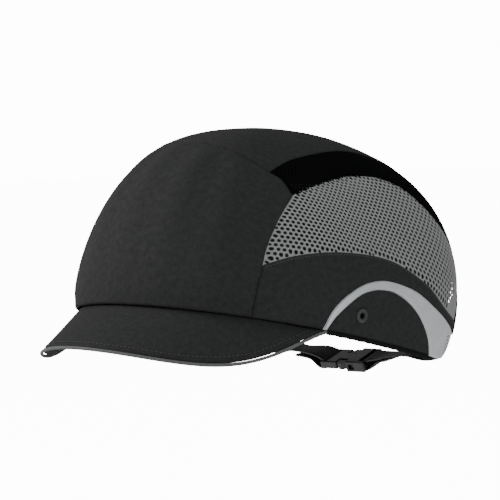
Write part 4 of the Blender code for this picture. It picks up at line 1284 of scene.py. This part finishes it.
class BumpCapColours(PropertyGroup):
    """Colours of the cap's cloths, threads and plastics, as linear values."""

    charcoal: colour_property("Charcoal", "Microfibre of the crown and peak", (0.025, 0.0265, 0.0257))
    black: colour_property("Black", "Upper knit and dark thread", (0.0022, 0.0024, 0.0024))
    tape: colour_property("Tape", "Folded tapes of the rim and the arch", (0.006, 0.006, 0.0065))
    knit: colour_property("Knit Grey", "Open knit of the sides", (0.235, 0.241, 0.241))
    silver: colour_property("Silver", "Reflective cloth", (0.55, 0.576, 0.592))
    piping: colour_property("Piping", "Reflective piping of the peak", (0.11, 0.114, 0.114))
    thread: colour_property("Thread", "Light sewing thread", (0.045, 0.047, 0.046))
    embroidery: colour_property("Embroidery", "Thread round the eyelets", (0.04, 0.042, 0.041))
    towelling: colour_property("Towelling", "Sweatband", (0.012, 0.012, 0.013))
    shell: colour_property("Shell", "Moulded liner", (0.010, 0.010, 0.011))
    foam: colour_property("Foam", "Pads", (0.045, 0.045, 0.05))
    buckle: colour_property("Buckle", "Buckle's plastic", (0.024, 0.0245, 0.027))
    webbing: colour_property("Webbing", "Strap", (0.022, 0.022, 0.028))
    label: colour_property("Label", "Care label", (0.6, 0.6, 0.58))
    floor: colour_property("Floor", "Floor of the stage", (0.9, 0.9, 0.9))


class CapOperator:
    """What every operator of the cap shares."""

    bl_options = {"REGISTER", "UNDO"}

    def execute(self, context):
        """Build the pieces from the scene's sizes and colours."""
        self.build(context.scene.bump_cap_sizes, context.scene.bump_cap_colours)
        return {"FINISHED"}


class BUMPCAP_OT_cloth_panels(CapOperator, Operator):
    """Build the charcoal panels of the crown"""

    bl_idname = "bumpcap.cloth_panels"
    bl_label = "Cloth Panels"

    def build(self, sizes, colours):
        """Front, top and side panels."""
        s = sewing_lines()
        cloth = charcoal_fabric(colours)
        base = rim_line(-180.0 - FRONT_JUNCTION_TURN, FRONT_JUNCTION_TURN)
        top = across_middle(joined(s["front"], s["mesh_front"]))
        side = joined(s["side"][::-1], s["grey_front"][::-1])
        front = crown_panel("front_cloth", (base, top, mirrored(side), side), front_folds, cloth, sizes)
        settle(front, ["front_panel"])
        arch = across_middle(s["arch_top"][::-1])
        lines = (across_middle(s["front"]), arch, mirrored(s["top_edge"]), s["top_edge"])
        settle(crown_panel("top_cloth", lines, top_folds, cloth, sizes), ["top_panel"])
        below = joined(s["junction"], s["band_top"])
        lines = (below, s["panel_edge"], s["side"][::-1], s["arch_tab"])
        left = crown_panel("side_cloth_left", lines, side_folds, cloth, sizes)
        settle_pair(left, ["side_panel"])


class BUMPCAP_OT_knit_panels(CapOperator, Operator):
    """Build the open-knit vent panels of the crown"""

    bl_idname = "bumpcap.knit_panels"
    bl_label = "Knit Panels"

    def build(self, sizes, colours):
        """Grey side knit and black upper knit."""
        s = sewing_lines()
        lines = (s["panel_edge"], s["mesh_edge"], s["grey_front"][::-1], s["arch_panel"])
        pitch, opening = sizes.knit_pitch / MM, sizes.knit_opening
        left = knit_panel("side_knit_left", lines, pitch, opening, grey_mesh(colours))
        settle_pair(left, ["side_mesh"])
        lines = (s["mesh_edge"], s["top_edge"], s["mesh_front"][::-1], s["arch_mesh"])
        pitch = sizes.black_pitch / MM
        left = knit_panel("upper_knit_left", lines, pitch, BLACK_OPENING, black_mesh(colours))
        settle_pair(left, ["upper_mesh"])


class BUMPCAP_OT_reflective_bands(CapOperator, Operator):
    """Build the silver bands that widen into the rear tabs"""

    bl_idname = "bumpcap.reflective_bands"
    bl_label = "Reflective Bands"

    def build(self, sizes, colours):
        """The band on each side."""
        s = sewing_lines()
        below = joined(s["band_low"], s["tab_base"])
        west = rim_line(EAR_FRONT_TURN, PEAK_CORNER_TURN)
        lines = (below, s["band_top"], west, s["tab_end"])
        left = crown_panel("silver_band_left", lines, small_folds, reflective_fabric(colours), sizes)
        settle_pair(left, ["reflective_band"])


class BUMPCAP_OT_ear_panels(CapOperator, Operator):
    """Build the half-moon ear panels with their embroidered eyelets"""

    bl_idname = "bumpcap.ear_panels"
    bl_label = "Ear Panels"

    def build(self, sizes, colours):
        """A dented panel with a hole, and the thread ring round the hole."""
        s = sewing_lines()
        south = rim_line(EAR_FRONT_LOW_TURN, EAR_REAR_LOW_TURN)
        west = rim_line(EAR_FRONT_LOW_TURN, EAR_FRONT_TURN)
        east = rim_line(EAR_REAR_LOW_TURN, EAR_REAR_TURN)
        place = on_crown(np.array(EYELET))
        normal = crown_normal(place)
        up = np.array([0.0, 0.0, 1.0]) - normal * normal[2]
        up /= np.linalg.norm(up)
        ahead = np.cross(up, normal)

        def dent(points):
            offset = points - place
            a, b = offset @ ahead, offset @ up
            away, turn = np.hypot(a, b), np.arctan2(b, a)
            puckers = np.cos(sizes.pucker_count * turn + 0.6) * np.exp(-(((away - 6.5) / 2.6) ** 2)) * 0.4
            hollow = 2.2 * np.exp(-(((a - 10.0) / 9.0) ** 2) - ((b - 3.0) / 6.5) ** 2)
            ridge = 1.0 * np.exp(-(((a - 2.0) / 14.0) ** 2) - ((b - 11.0) / 3.5) ** 2)
            return puckers - hollow + ridge - 0.5 * np.exp(-((away / 4.5) ** 2))

        lines = (south, s["band_low"], west, east)
        panel = crown_panel("ear_cloth_left", lines, small_folds, charcoal_fabric(colours), sizes, dent)
        facing = Vector(normal).to_track_quat("Z", "Y").to_matrix().to_4x4()
        placed = Matrix.Translation(Vector(place) * MM) @ facing
        work = bmesh.new()
        radius = EYELET_HOLE * MM
        bmesh.ops.create_cone(work, cap_ends=True, segments=32, radius1=radius, radius2=radius, depth=0.012)
        mesh = bpy.data.meshes.new("eyelet_hole")
        work.to_mesh(mesh)
        work.free()
        mesh.transform(placed)
        hole = bpy.data.objects.new("eyelet_hole", mesh)
        bpy.context.scene.collection.objects.link(hole)
        change = panel.modifiers.new("hole", "BOOLEAN")
        change.object = hole
        applied(panel)
        bpy.data.objects.remove(hole)
        settle_pair(panel, ["ear_panel"])

        around, section = 96, 14
        turn = np.arange(around) * 2.0 * math.pi / around
        bend = np.arange(section) * 2.0 * math.pi / section
        ripple = 0.14 * np.cos(32.0 * turn)[:, None]
        reach = 2.75 + (1.25 + ripple) * np.cos(bend)[None]
        height = -0.15 + (0.85 + ripple) * np.sin(bend)[None]
        points = np.stack([reach * np.cos(turn)[:, None], reach * np.sin(turn)[:, None], height], axis=-1)
        faces = []
        for i in range(around):
            for j in range(section):
                k, m = (i + 1) % around, (j + 1) % section
                faces.append((i * section + j, k * section + j, k * section + m, i * section + m))
        mesh = new_mesh("eyelet_thread_left", points.reshape(-1, 3), faces)
        mesh.transform(placed)
        settle_pair(new_piece("eyelet_thread_left", mesh, embroidery(colours)), ["eyelet"])


class BUMPCAP_OT_bindings(CapOperator, Operator):
    """Build the folded tapes along the rim and the rear arch"""

    bl_idname = "bumpcap.bindings"
    bl_label = "Bindings"

    def tape(self, name, path, out, into, shift, material):
        """A folded tape along a path."""
        pull = 1.0 + 0.05 * np.sin(np.arange(len(path)) * 0.9)
        points = sweep(path, out, into * pull[:, None], oval(1.3, 1.25, 14, 2.8, shift))
        return add_bar(name, points, path, np.arange(points.shape[1]) * 0.55, material)

    def build(self, sizes, colours):
        """The rim tape on each side and the arch tape."""
        s = sewing_lines()
        tape = black_binding(colours)
        path = spaced(rim_line(EAR_FRONT_TURN, EAR_REAR_TURN - 0.3), 1.0)
        up = np.tile((0.0, 0.0, 1.0), (len(path), 1))
        left = self.tape("rim_tape_left", path, crown_normal(path), up, (-0.65, -1.15), tape)
        settle_pair(left, ["rim_binding"])
        half = joined(s["arch_tab"], s["arch_panel"], s["arch_mesh"], s["arch_top"])
        path = on_crown(spaced(joined(half, mirrored(half)[::-1]), 1.2))
        out = crown_normal(path)
        into = np.cross(np.gradient(path, axis=0), out)
        into /= np.linalg.norm(into, axis=1, keepdims=True)
        inwards = ((np.array([0.0, 120.0, 0.0]) - path) * into).sum(axis=1, keepdims=True)
        into = np.where(inwards > 0.0, into, -into)
        arch = self.tape("arch_tape", path, out, into, (-0.65, 1.15), tape)
        settle(arch, ["arch_binding"])


class BUMPCAP_OT_peak(CapOperator, Operator):
    """Build the peak's covers, its board's finish and its piping"""

    bl_idname = "bumpcap.peak"
    bl_label = "Peak"

    def cover(self, name, top, bottom, side, material):
        """A cover whose edge rolls over to the piping, from one depth to another."""
        reach_in, width = (0.55, 1.9) if side > 0.0 else (1.35, 4.5)
        turns = np.concatenate([[-PEAK_SPAN], np.linspace(-86.0, 86.0, 230), [PEAK_SPAN]])
        outermost = 0.9 + 0.1 * smooth_step(np.linspace(0.05, 1.0, 14))
        shares = np.concatenate([np.linspace(0.0, 0.9, 34), outermost])
        grid, normal, away = peak_grid(turns, shares, PEAK_TRIM)
        roll = reach_in * np.clip(1.0 - (away - PEAK_TRIM) / width, 0.0, 1.0) ** 2
        groove = 0.22 * np.exp(-(((away - PEAK_GROOVE) / 0.7) ** 2))
        rise = soft_waves(grid, (48.0, 48.0, 48.0), 51) * 0.2 * smooth_step(away / 9.0)
        face = -side * (roll + groove) + rise
        outer = grid + normal * (face - top)[..., None]
        followed = 0.4 if side > 0.0 else 1.0
        inner = grid + normal * (followed * face - bottom)[..., None]
        places = np.stack(np.broadcast_arrays(turns[None] * 1.6, -away), axis=-1)
        return add_sheet(name, outer, inner, places, material)

    def build(self, sizes, colours):
        """Two covers over the board, and the bead along the edge."""
        cloth = charcoal_fabric(colours)
        low = COVER + GAP + BOARD + GAP
        upper = self.cover("peak_upper_cloth", 0.0, COVER, 1.0, cloth)
        settle(upper, ["peak_top_cover"])
        lower = self.cover("peak_lower_cloth", low, low + COVER, -1.0, cloth)
        settle(lower, ["peak_bottom_cover"])
        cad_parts["peak_board"].material_slots[0].material = shell_plastic(colours)
        path, out, up = peak_outer_edge()
        bead = oval(PIPING_RADIUS, PIPING_RADIUS, 16, 2.1)
        pull = 1.0 + 0.035 * np.sin(np.arange(len(path)) * 2.1)
        points = sweep(path, out * pull[:, None], up, bead)
        piping = add_bar("peak_bead", points, path, np.arange(len(bead)) * 0.6, reflective_piping(colours))
        settle(piping, ["peak_piping"])


class BUMPCAP_OT_shell(CapOperator, Operator):
    """Build the moulded protective liner with its vent slots"""

    bl_idname = "bumpcap.shell"
    bl_label = "Protective Shell"

    def build(self, sizes, colours):
        """A dome with an arched rear edge, cut by six slots."""
        around, rows = 180, 60
        azimuths = -90.0 + 360.0 * np.arange(around) / around
        lowest = edge_elevations(azimuths, shell_edge_height(azimuths), SHELL_DEPTH)

        def depths(shares, elevations):
            lip = 0.35 * np.exp(-((shares * rows / 1.6) ** 2)) + 0.0 * elevations
            return SHELL_DEPTH + lip, SHELL_DEPTH + SHELL_THICKNESS - lip

        dome = dome_mesh("liner", *dome_grids(lowest, rows, depths))
        shell = new_piece("liner", dome, shell_plastic(colours))
        slots = [(-20.0, 45.0), (20.0, 45.0), (60.0, 50.0), (120.0, 50.0), (160.0, 45.0), (200.0, 45.0)]
        work = bmesh.new()
        for azimuth, elevation in slots:
            place = ray_points(azimuth, elevation, SHELL_DEPTH)
            way = Vector(place - CROWN_CENTRE).normalized()
            outline = oval(11.0, 4.0, 28, 3.4) * MM
            turn = Matrix.Translation(Vector(place) * MM) @ way.to_track_quat("Z", "Y").to_matrix().to_4x4()
            rings = []
            for height in (-0.008, 0.008):
                rings.append([work.verts.new(turn @ Vector((a, b, height))) for a, b in outline])
            work.faces.new(rings[0][::-1])
            work.faces.new(rings[1])
            count = len(outline)
            for i in range(count):
                k = (i + 1) % count
                work.faces.new((rings[0][i], rings[0][k], rings[1][k], rings[1][i]))
        mesh = bpy.data.meshes.new("slots")
        work.to_mesh(mesh)
        work.free()
        slots = bpy.data.objects.new("slots", mesh)
        bpy.context.scene.collection.objects.link(slots)
        change = shell.modifiers.new("slots", "BOOLEAN")
        change.object = slots
        applied(shell)
        bpy.data.objects.remove(slots)
        settle(shell, ["protective_shell"])


class BUMPCAP_OT_pads(CapOperator, Operator):
    """Build the foam pads inside the liner"""

    bl_idname = "bumpcap.pads"
    bl_label = "Foam Pads"

    def build(self, sizes, colours):
        """Crown, front, side and rear pads."""
        material = foam(colours)
        crown = sizes.pad_crown / MM

        def depths(shares, elevations):
            profile = np.sqrt(1.0 - (1.0 - np.clip(shares * 5.0, 0.0, 1.0)) ** 2) + 0.0 * elevations
            return pad_depths(profile, crown)

        top = dome_mesh("crown_foam", *dome_grids(np.full(96, 64.0), 30, depths))
        pads = [(new_piece("crown_foam", top, material), "crown_pad")]
        front = rounded_pad("front_foam", (-125.0, -55.0), (22.0, 50.0), crown, material)
        rear = rounded_pad("rear_foam", (66.0, 114.0), (33.0, 56.0), crown, material)
        left = rounded_pad("side_foam_left", (-12.0, 22.0), (16.0, 38.0), crown, material)
        right = mirror_piece(left, "side_foam_right")
        pads += [(front, "front_pad"), (rear, "rear_pad"), (left, "side_pad_left"), (right, "side_pad_right")]
        for piece, node in pads:
            settle(piece, [node])


class BUMPCAP_OT_sweatband(CapOperator, Operator):
    """Build the towelling sweatband and the blank care label"""

    bl_idname = "bumpcap.sweatband"
    bl_label = "Sweatband"

    def build(self, sizes, colours):
        """A padded band sewn in along the rim, and the label on it."""
        heights = np.concatenate([[-2.5, -2.0, -1.2], np.linspace(0.0, 30.6, 30), [31.8, 32.6, 33.0]])
        base = np.interp(heights, (-2.5, 4.0, 10.0, 21.0, 33.0), (3.8, 4.3, 6.2, 6.2, 6.2))
        low = smooth_step((heights + 2.5) / 6.0)
        high = smooth_step((33.0 - heights) / 4.0)
        body = np.sqrt(low * high)
        turns = np.linspace(-206.0, 26.0, 300)
        rim = rim_at(turns)[None] + np.array([0.0, 0.0, 1.0]) * heights[:, None, None]
        grain = np.stack(np.broadcast_arrays(turns[None] * 1.7, heights[:, None]), axis=-1)
        gather = soft_waves(grain, (9.0, 60.0), 71) * 0.16
        outer = on_crown(rim, np.broadcast_to((base + 0.3 * (1.0 - body))[:, None], rim.shape[:2]))
        thick = 1.1 + (BAND_THICKNESS - 1.1 + 0.35) * body[:, None] + gather * body[:, None]
        inner = on_crown(rim, base[:, None] + thick)
        band = add_sheet("towelling_band", outer, inner, grain, towelling(colours))
        settle(band, ["sweatband"])

        depth = LINING_DEPTH + BAND_THICKNESS + 2.0 * GAP
        u, v = np.meshgrid(np.linspace(6.0, 18.0, 25), np.linspace(15.0, 29.0, 15))
        face = rim_at(u) + np.array([0.0, 0.0, 1.0]) * v[..., None]
        places = np.stack([(u - 12.0) * 1.65, v], axis=-1)
        outer = on_crown(face, depth)
        inner = on_crown(face, depth + 0.35 + 0.1 * soft_waves(places, (14.0, 12.0), 72))
        label = add_sheet("blank_label", outer, inner, places, label_satin(colours))
        settle(label, ["care_label"])


class BUMPCAP_OT_straps(CapOperator, Operator):
    """Build the webbing halves and the patches that sew them to the tabs"""

    bl_idname = "bumpcap.straps"
    bl_label = "Straps"

    def build(self, sizes, colours):
        """Both halves are swept round the buckle's bars along their stations; the patches ride on the cap."""
        material = webbing(colours)
        tab_end = [(69.0, 80.5, -9.5, 90.0), (63.0, 82.0, -11.2, 72.0), (53.0, 83.4, -14.6, 24.0)]
        bar = SOCKET_END - 0.5 * BAR_SIZE
        near = [*tab_end, (44.0, 84.0, -15.6, 5.0), (33.0, 84.0, -16.4, 5.0), (22.0, 83.8, -17.6, 14.0)]
        tail = [buckle_to_world(bar + 4.5, -1.2), (22.0, 84.6, -19.6, 14.0), (29.0, 84.6, -18.7, 8.0)]
        left = ribbon("webbing_near", [*near, *bar_loop(bar, 1.0), *tail], material)
        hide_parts("strap_webbing_left")
        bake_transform(left)
        far = [(-x, y, z, roll) for x, y, z, roll in tab_end]
        far += [(-44.5, 84.0, -15.4, 6.0), (-27.5, 83.8, -16.4, 16.0)]
        tail = [buckle_to_world(-bar - 4.0, -2.3), (-31.0, 84.6, -19.1, 14.0), (-43.0, 84.6, -18.0, 8.0)]
        right = ribbon("webbing_far", [*far, *bar_loop(-bar, -1.0), *tail], material)
        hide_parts("strap_webbing_right")
        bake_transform(right)

        low = curve_through([(80.0, 69.5, -14.5), (77.8, 75.5, -14.3), (75.2, 80.5, -12.5)], 8)
        high = curve_through([(82.0, 69.5, -1.0), (79.0, 76.5, -1.0), (75.0, 83.5, -1.0)], 8)
        share = np.linspace(0.0, 1.0, 13)[:, None, None]
        face = low[None] * (1.0 - share) + high[None] * share
        outer = on_crown(face, FABRIC + GAP)
        inner = on_crown(face, FABRIC + GAP + WEBBING_THICKNESS)
        width = np.linspace(0.0, 14.0, len(low))
        places = np.stack(np.broadcast_arrays(share[..., 0] * 14.0, width), axis=-1)
        patch = add_sheet("strap_patch_left", outer, inner, places, material)
        settle_pair(patch, ["strap_anchor"])


class BUMPCAP_OT_buckle(CapOperator, Operator):
    """Give the side-release buckle its moulded finish"""

    bl_idname = "bumpcap.buckle"
    bl_label = "Buckle"

    def build(self, sizes, colours):
        """The buckle's own solids keep their shape."""
        for node in ("buckle_socket", "buckle_plug", "buckle_arm_rear", "buckle_arm_front"):
            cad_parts[node].material_slots[0].material = buckle_plastic(colours)


class BUMPCAP_OT_stitching(CapOperator, Operator):
    """Sew the rows of stitches along the seams and edges"""

    bl_idname = "bumpcap.stitching"
    bl_label = "Stitching"

    def beside(self, line, towards, distance, lift):
        """A line on the crown beside a seam, a distance towards a point."""
        line = spaced(line, 1.2)
        normal = crown_normal(line)
        across = np.cross(np.gradient(line, axis=0), normal)
        across /= np.linalg.norm(across, axis=1, keepdims=True)
        side = np.sign(((np.asarray(towards) - line) * across).sum(axis=1, keepdims=True))
        moved = on_crown(line + across * side * distance)
        return (moved + crown_normal(moved) * lift)[1:-1]

    def build(self, sizes, colours):
        """Dark rows on the crown, light rows under the knit, and the peak's row."""
        s = sewing_lines()
        dark, light = dark_thread(colours), sewing_thread(colours)
        seam_row = self.beside(across_middle(s["front"]), (0.0, 60.0, 119.0), 1.6, 0.12)
        side_rows = [self.beside(s["side"], (90.0, 0.0, 20.0), 1.5, 0.1)]
        side_rows += [self.beside(joined(s["mesh_front"], s["grey_front"]), (0.0, -100.0, 60.0), 1.5, 0.1)]
        rows = [seam_row, *side_rows, *[mirrored(row) for row in side_rows]]
        add_stitches("crown_seam_stitches", rows, dark, sizes)
        low = self.beside(s["panel_edge"], (95.0, 0.0, 0.0), 2.0, 0.16)
        add_stitches("knit_edge_stitches", [low, mirrored(low)], light, sizes, spacing=0.0022)
        turns = np.linspace(-86.0, 86.0, 400)
        length = np.linalg.norm(peak_edge(turns) - peak_root(turns), axis=1)
        grid, _, _ = peak_grid(turns, np.array([0.2, 1.0]), PEAK_GROOVE)
        keep = length > 9.0
        row = (grid[-1] + np.array([0.0, 0.0, 1.0]) * 0.02)[keep]
        add_stitches("peak_edge_stitches", [row], light, sizes)
        band = spaced(rim_at(np.linspace(-205.0, 25.0, 300)) + (0.0, 0.0, 30.6), 1.5)
        rows = [on_crown(band, LINING_DEPTH + BAND_THICKNESS - 0.35)]
        add_stitches("band_stitches", rows, dark, sizes, spacing=0.003)
        box = [on_crown(spaced(np.array(row), 1.0)) for row in TAB_ROWS]
        box = [line + crown_normal(line) * 0.1 for line in box]
        box += [mirrored(line) for line in box]
        add_stitches("tab_stitches", box, light, sizes, spacing=0.002)


class BUMPCAP_OT_stage(CapOperator, Operator):
    """Set up the pale floor, the soft light and the camera"""

    bl_idname = "bumpcap.stage"
    bl_label = "Stage"

    def light(self, name, place, size, power, colour):
        """A soft square lamp that faces the cap."""
        lamp = bpy.data.lights.new(name, "AREA")
        lamp.shape = "SQUARE"
        lamp.size = size
        lamp.energy = power
        lamp.color = colour
        holder = bpy.data.objects.new(name, lamp)
        holder.location = place
        holder.rotation_euler = (Vector(LAMP_TARGET) - Vector(place)).to_track_quat("-Z", "Y").to_euler()
        bpy.context.scene.collection.objects.link(holder)

    def build(self, sizes, colours):
        """Floor, sky, three lamps and the camera."""
        scene = bpy.context.scene
        work = bmesh.new()
        bmesh.ops.create_circle(work, cap_ends=True, segments=96, radius=FLOOR_RADIUS)
        mesh = bpy.data.meshes.new("floor")
        work.to_mesh(mesh)
        work.free()
        mesh.transform(Matrix.Translation((0.0, 0.0, FLOOR_HEIGHT)))
        tone = bpy.data.materials.new("floor_paint")
        tone.use_nodes = True
        shader = tone.node_tree.nodes["Principled BSDF"]
        shader.inputs["Base Color"].default_value = (*colours.floor, 1.0)
        shader.inputs["Roughness"].default_value = 0.9
        shader.inputs["Emission Color"].default_value = (1.0, 1.0, 1.0, 1.0)
        seen = tone.node_tree.nodes.new("ShaderNodeLightPath").outputs["Is Camera Ray"]
        strength = map_range(tone.node_tree, seen, 0.0, 1.0, 0.0, FLOOR_GLOW)
        tone.node_tree.links.new(strength, shader.inputs["Emission Strength"])
        floor = new_piece("floor", mesh, tone)

        sky = bpy.data.worlds.new("studio")
        sky.use_nodes = True
        glow = sky.node_tree.nodes["Background"]
        glow.inputs["Color"].default_value = (1.0, 1.0, 1.0, 1.0)
        seen = sky.node_tree.nodes.new("ShaderNodeLightPath").outputs["Is Camera Ray"]
        strength = map_range(sky.node_tree, seen, 0.0, 1.0, SKY_LIGHT, SKY_GLOW)
        sky.node_tree.links.new(strength, glow.inputs["Strength"])
        scene.world = sky
        for lamp in LAMPS:
            self.light(*lamp)

        azimuth, elevation, roll = (math.radians(turn) for turn in (CAMERA_TURN, CAMERA_RISE, CAMERA_ROLL))
        cosine = math.cos(elevation)
        back = Vector((math.sin(azimuth) * cosine, -math.cos(azimuth) * cosine, math.sin(elevation)))
        right = Vector((math.cos(azimuth), math.sin(azimuth), 0.0))
        up = back.cross(right)
        turned = right * math.cos(roll) + up * math.sin(roll)
        upright = up * math.cos(roll) - right * math.sin(roll)
        target = Vector(CAMERA_TARGET) - turned * CAMERA_SHIFT[0] - upright * CAMERA_SHIFT[1]
        lens = bpy.data.cameras.new("camera")
        lens.lens = CAMERA_LENS
        lens.sensor_width = 36.0
        camera = bpy.data.objects.new("camera", lens)
        axes = Matrix((turned, upright, back)).transposed().to_4x4()
        camera.matrix_world = Matrix.Translation(target + back * CAMERA_DISTANCE) @ axes
        scene.collection.objects.link(camera)
        scene.camera = camera


OPERATORS = (
    BUMPCAP_OT_cloth_panels,
    BUMPCAP_OT_knit_panels,
    BUMPCAP_OT_reflective_bands,
    BUMPCAP_OT_ear_panels,
    BUMPCAP_OT_bindings,
    BUMPCAP_OT_peak,
    BUMPCAP_OT_shell,
    BUMPCAP_OT_pads,
    BUMPCAP_OT_sweatband,
    BUMPCAP_OT_straps,
    BUMPCAP_OT_buckle,
    BUMPCAP_OT_stitching,
    BUMPCAP_OT_stage,
)


class BUMPCAP_PT_sidebar(Panel):
    """Lists the cap's pieces in the sidebar"""

    bl_idname = "BUMPCAP_PT_sidebar"
    bl_label = "Bump Cap"
    bl_space_type = "VIEW_3D"
    bl_region_type = "UI"
    bl_category = "Bump Cap"

    def draw(self, context):
        """Draw the sizes, the colours and a button for each piece."""
        for group in (context.scene.bump_cap_sizes, context.scene.bump_cap_colours):
            box = self.layout.box()
            for name in group.__annotations__:
                box.prop(group, name)
        for operator in OPERATORS:
            self.layout.operator(operator.bl_idname)


CLASSES = (BumpCapSizes, BumpCapColours, *OPERATORS, BUMPCAP_PT_sidebar)


def register():
    """Add the classes and the scene's settings."""
    for cls in CLASSES:
        bpy.utils.register_class(cls)
    bpy.types.Scene.bump_cap_sizes = PointerProperty(type=BumpCapSizes)
    bpy.types.Scene.bump_cap_colours = PointerProperty(type=BumpCapColours)


def unregister():
    """Take the settings and the classes away again."""
    del bpy.types.Scene.bump_cap_colours
    del bpy.types.Scene.bump_cap_sizes
    for cls in reversed(CLASSES):
        bpy.utils.unregister_class(cls)


def main():
    """Build every piece in order."""
    register()
    for operator in OPERATORS:
        group, name = operator.bl_idname.split(".")
        getattr(getattr(bpy.ops, group), name)()


if __name__ == "__main__":
    main()
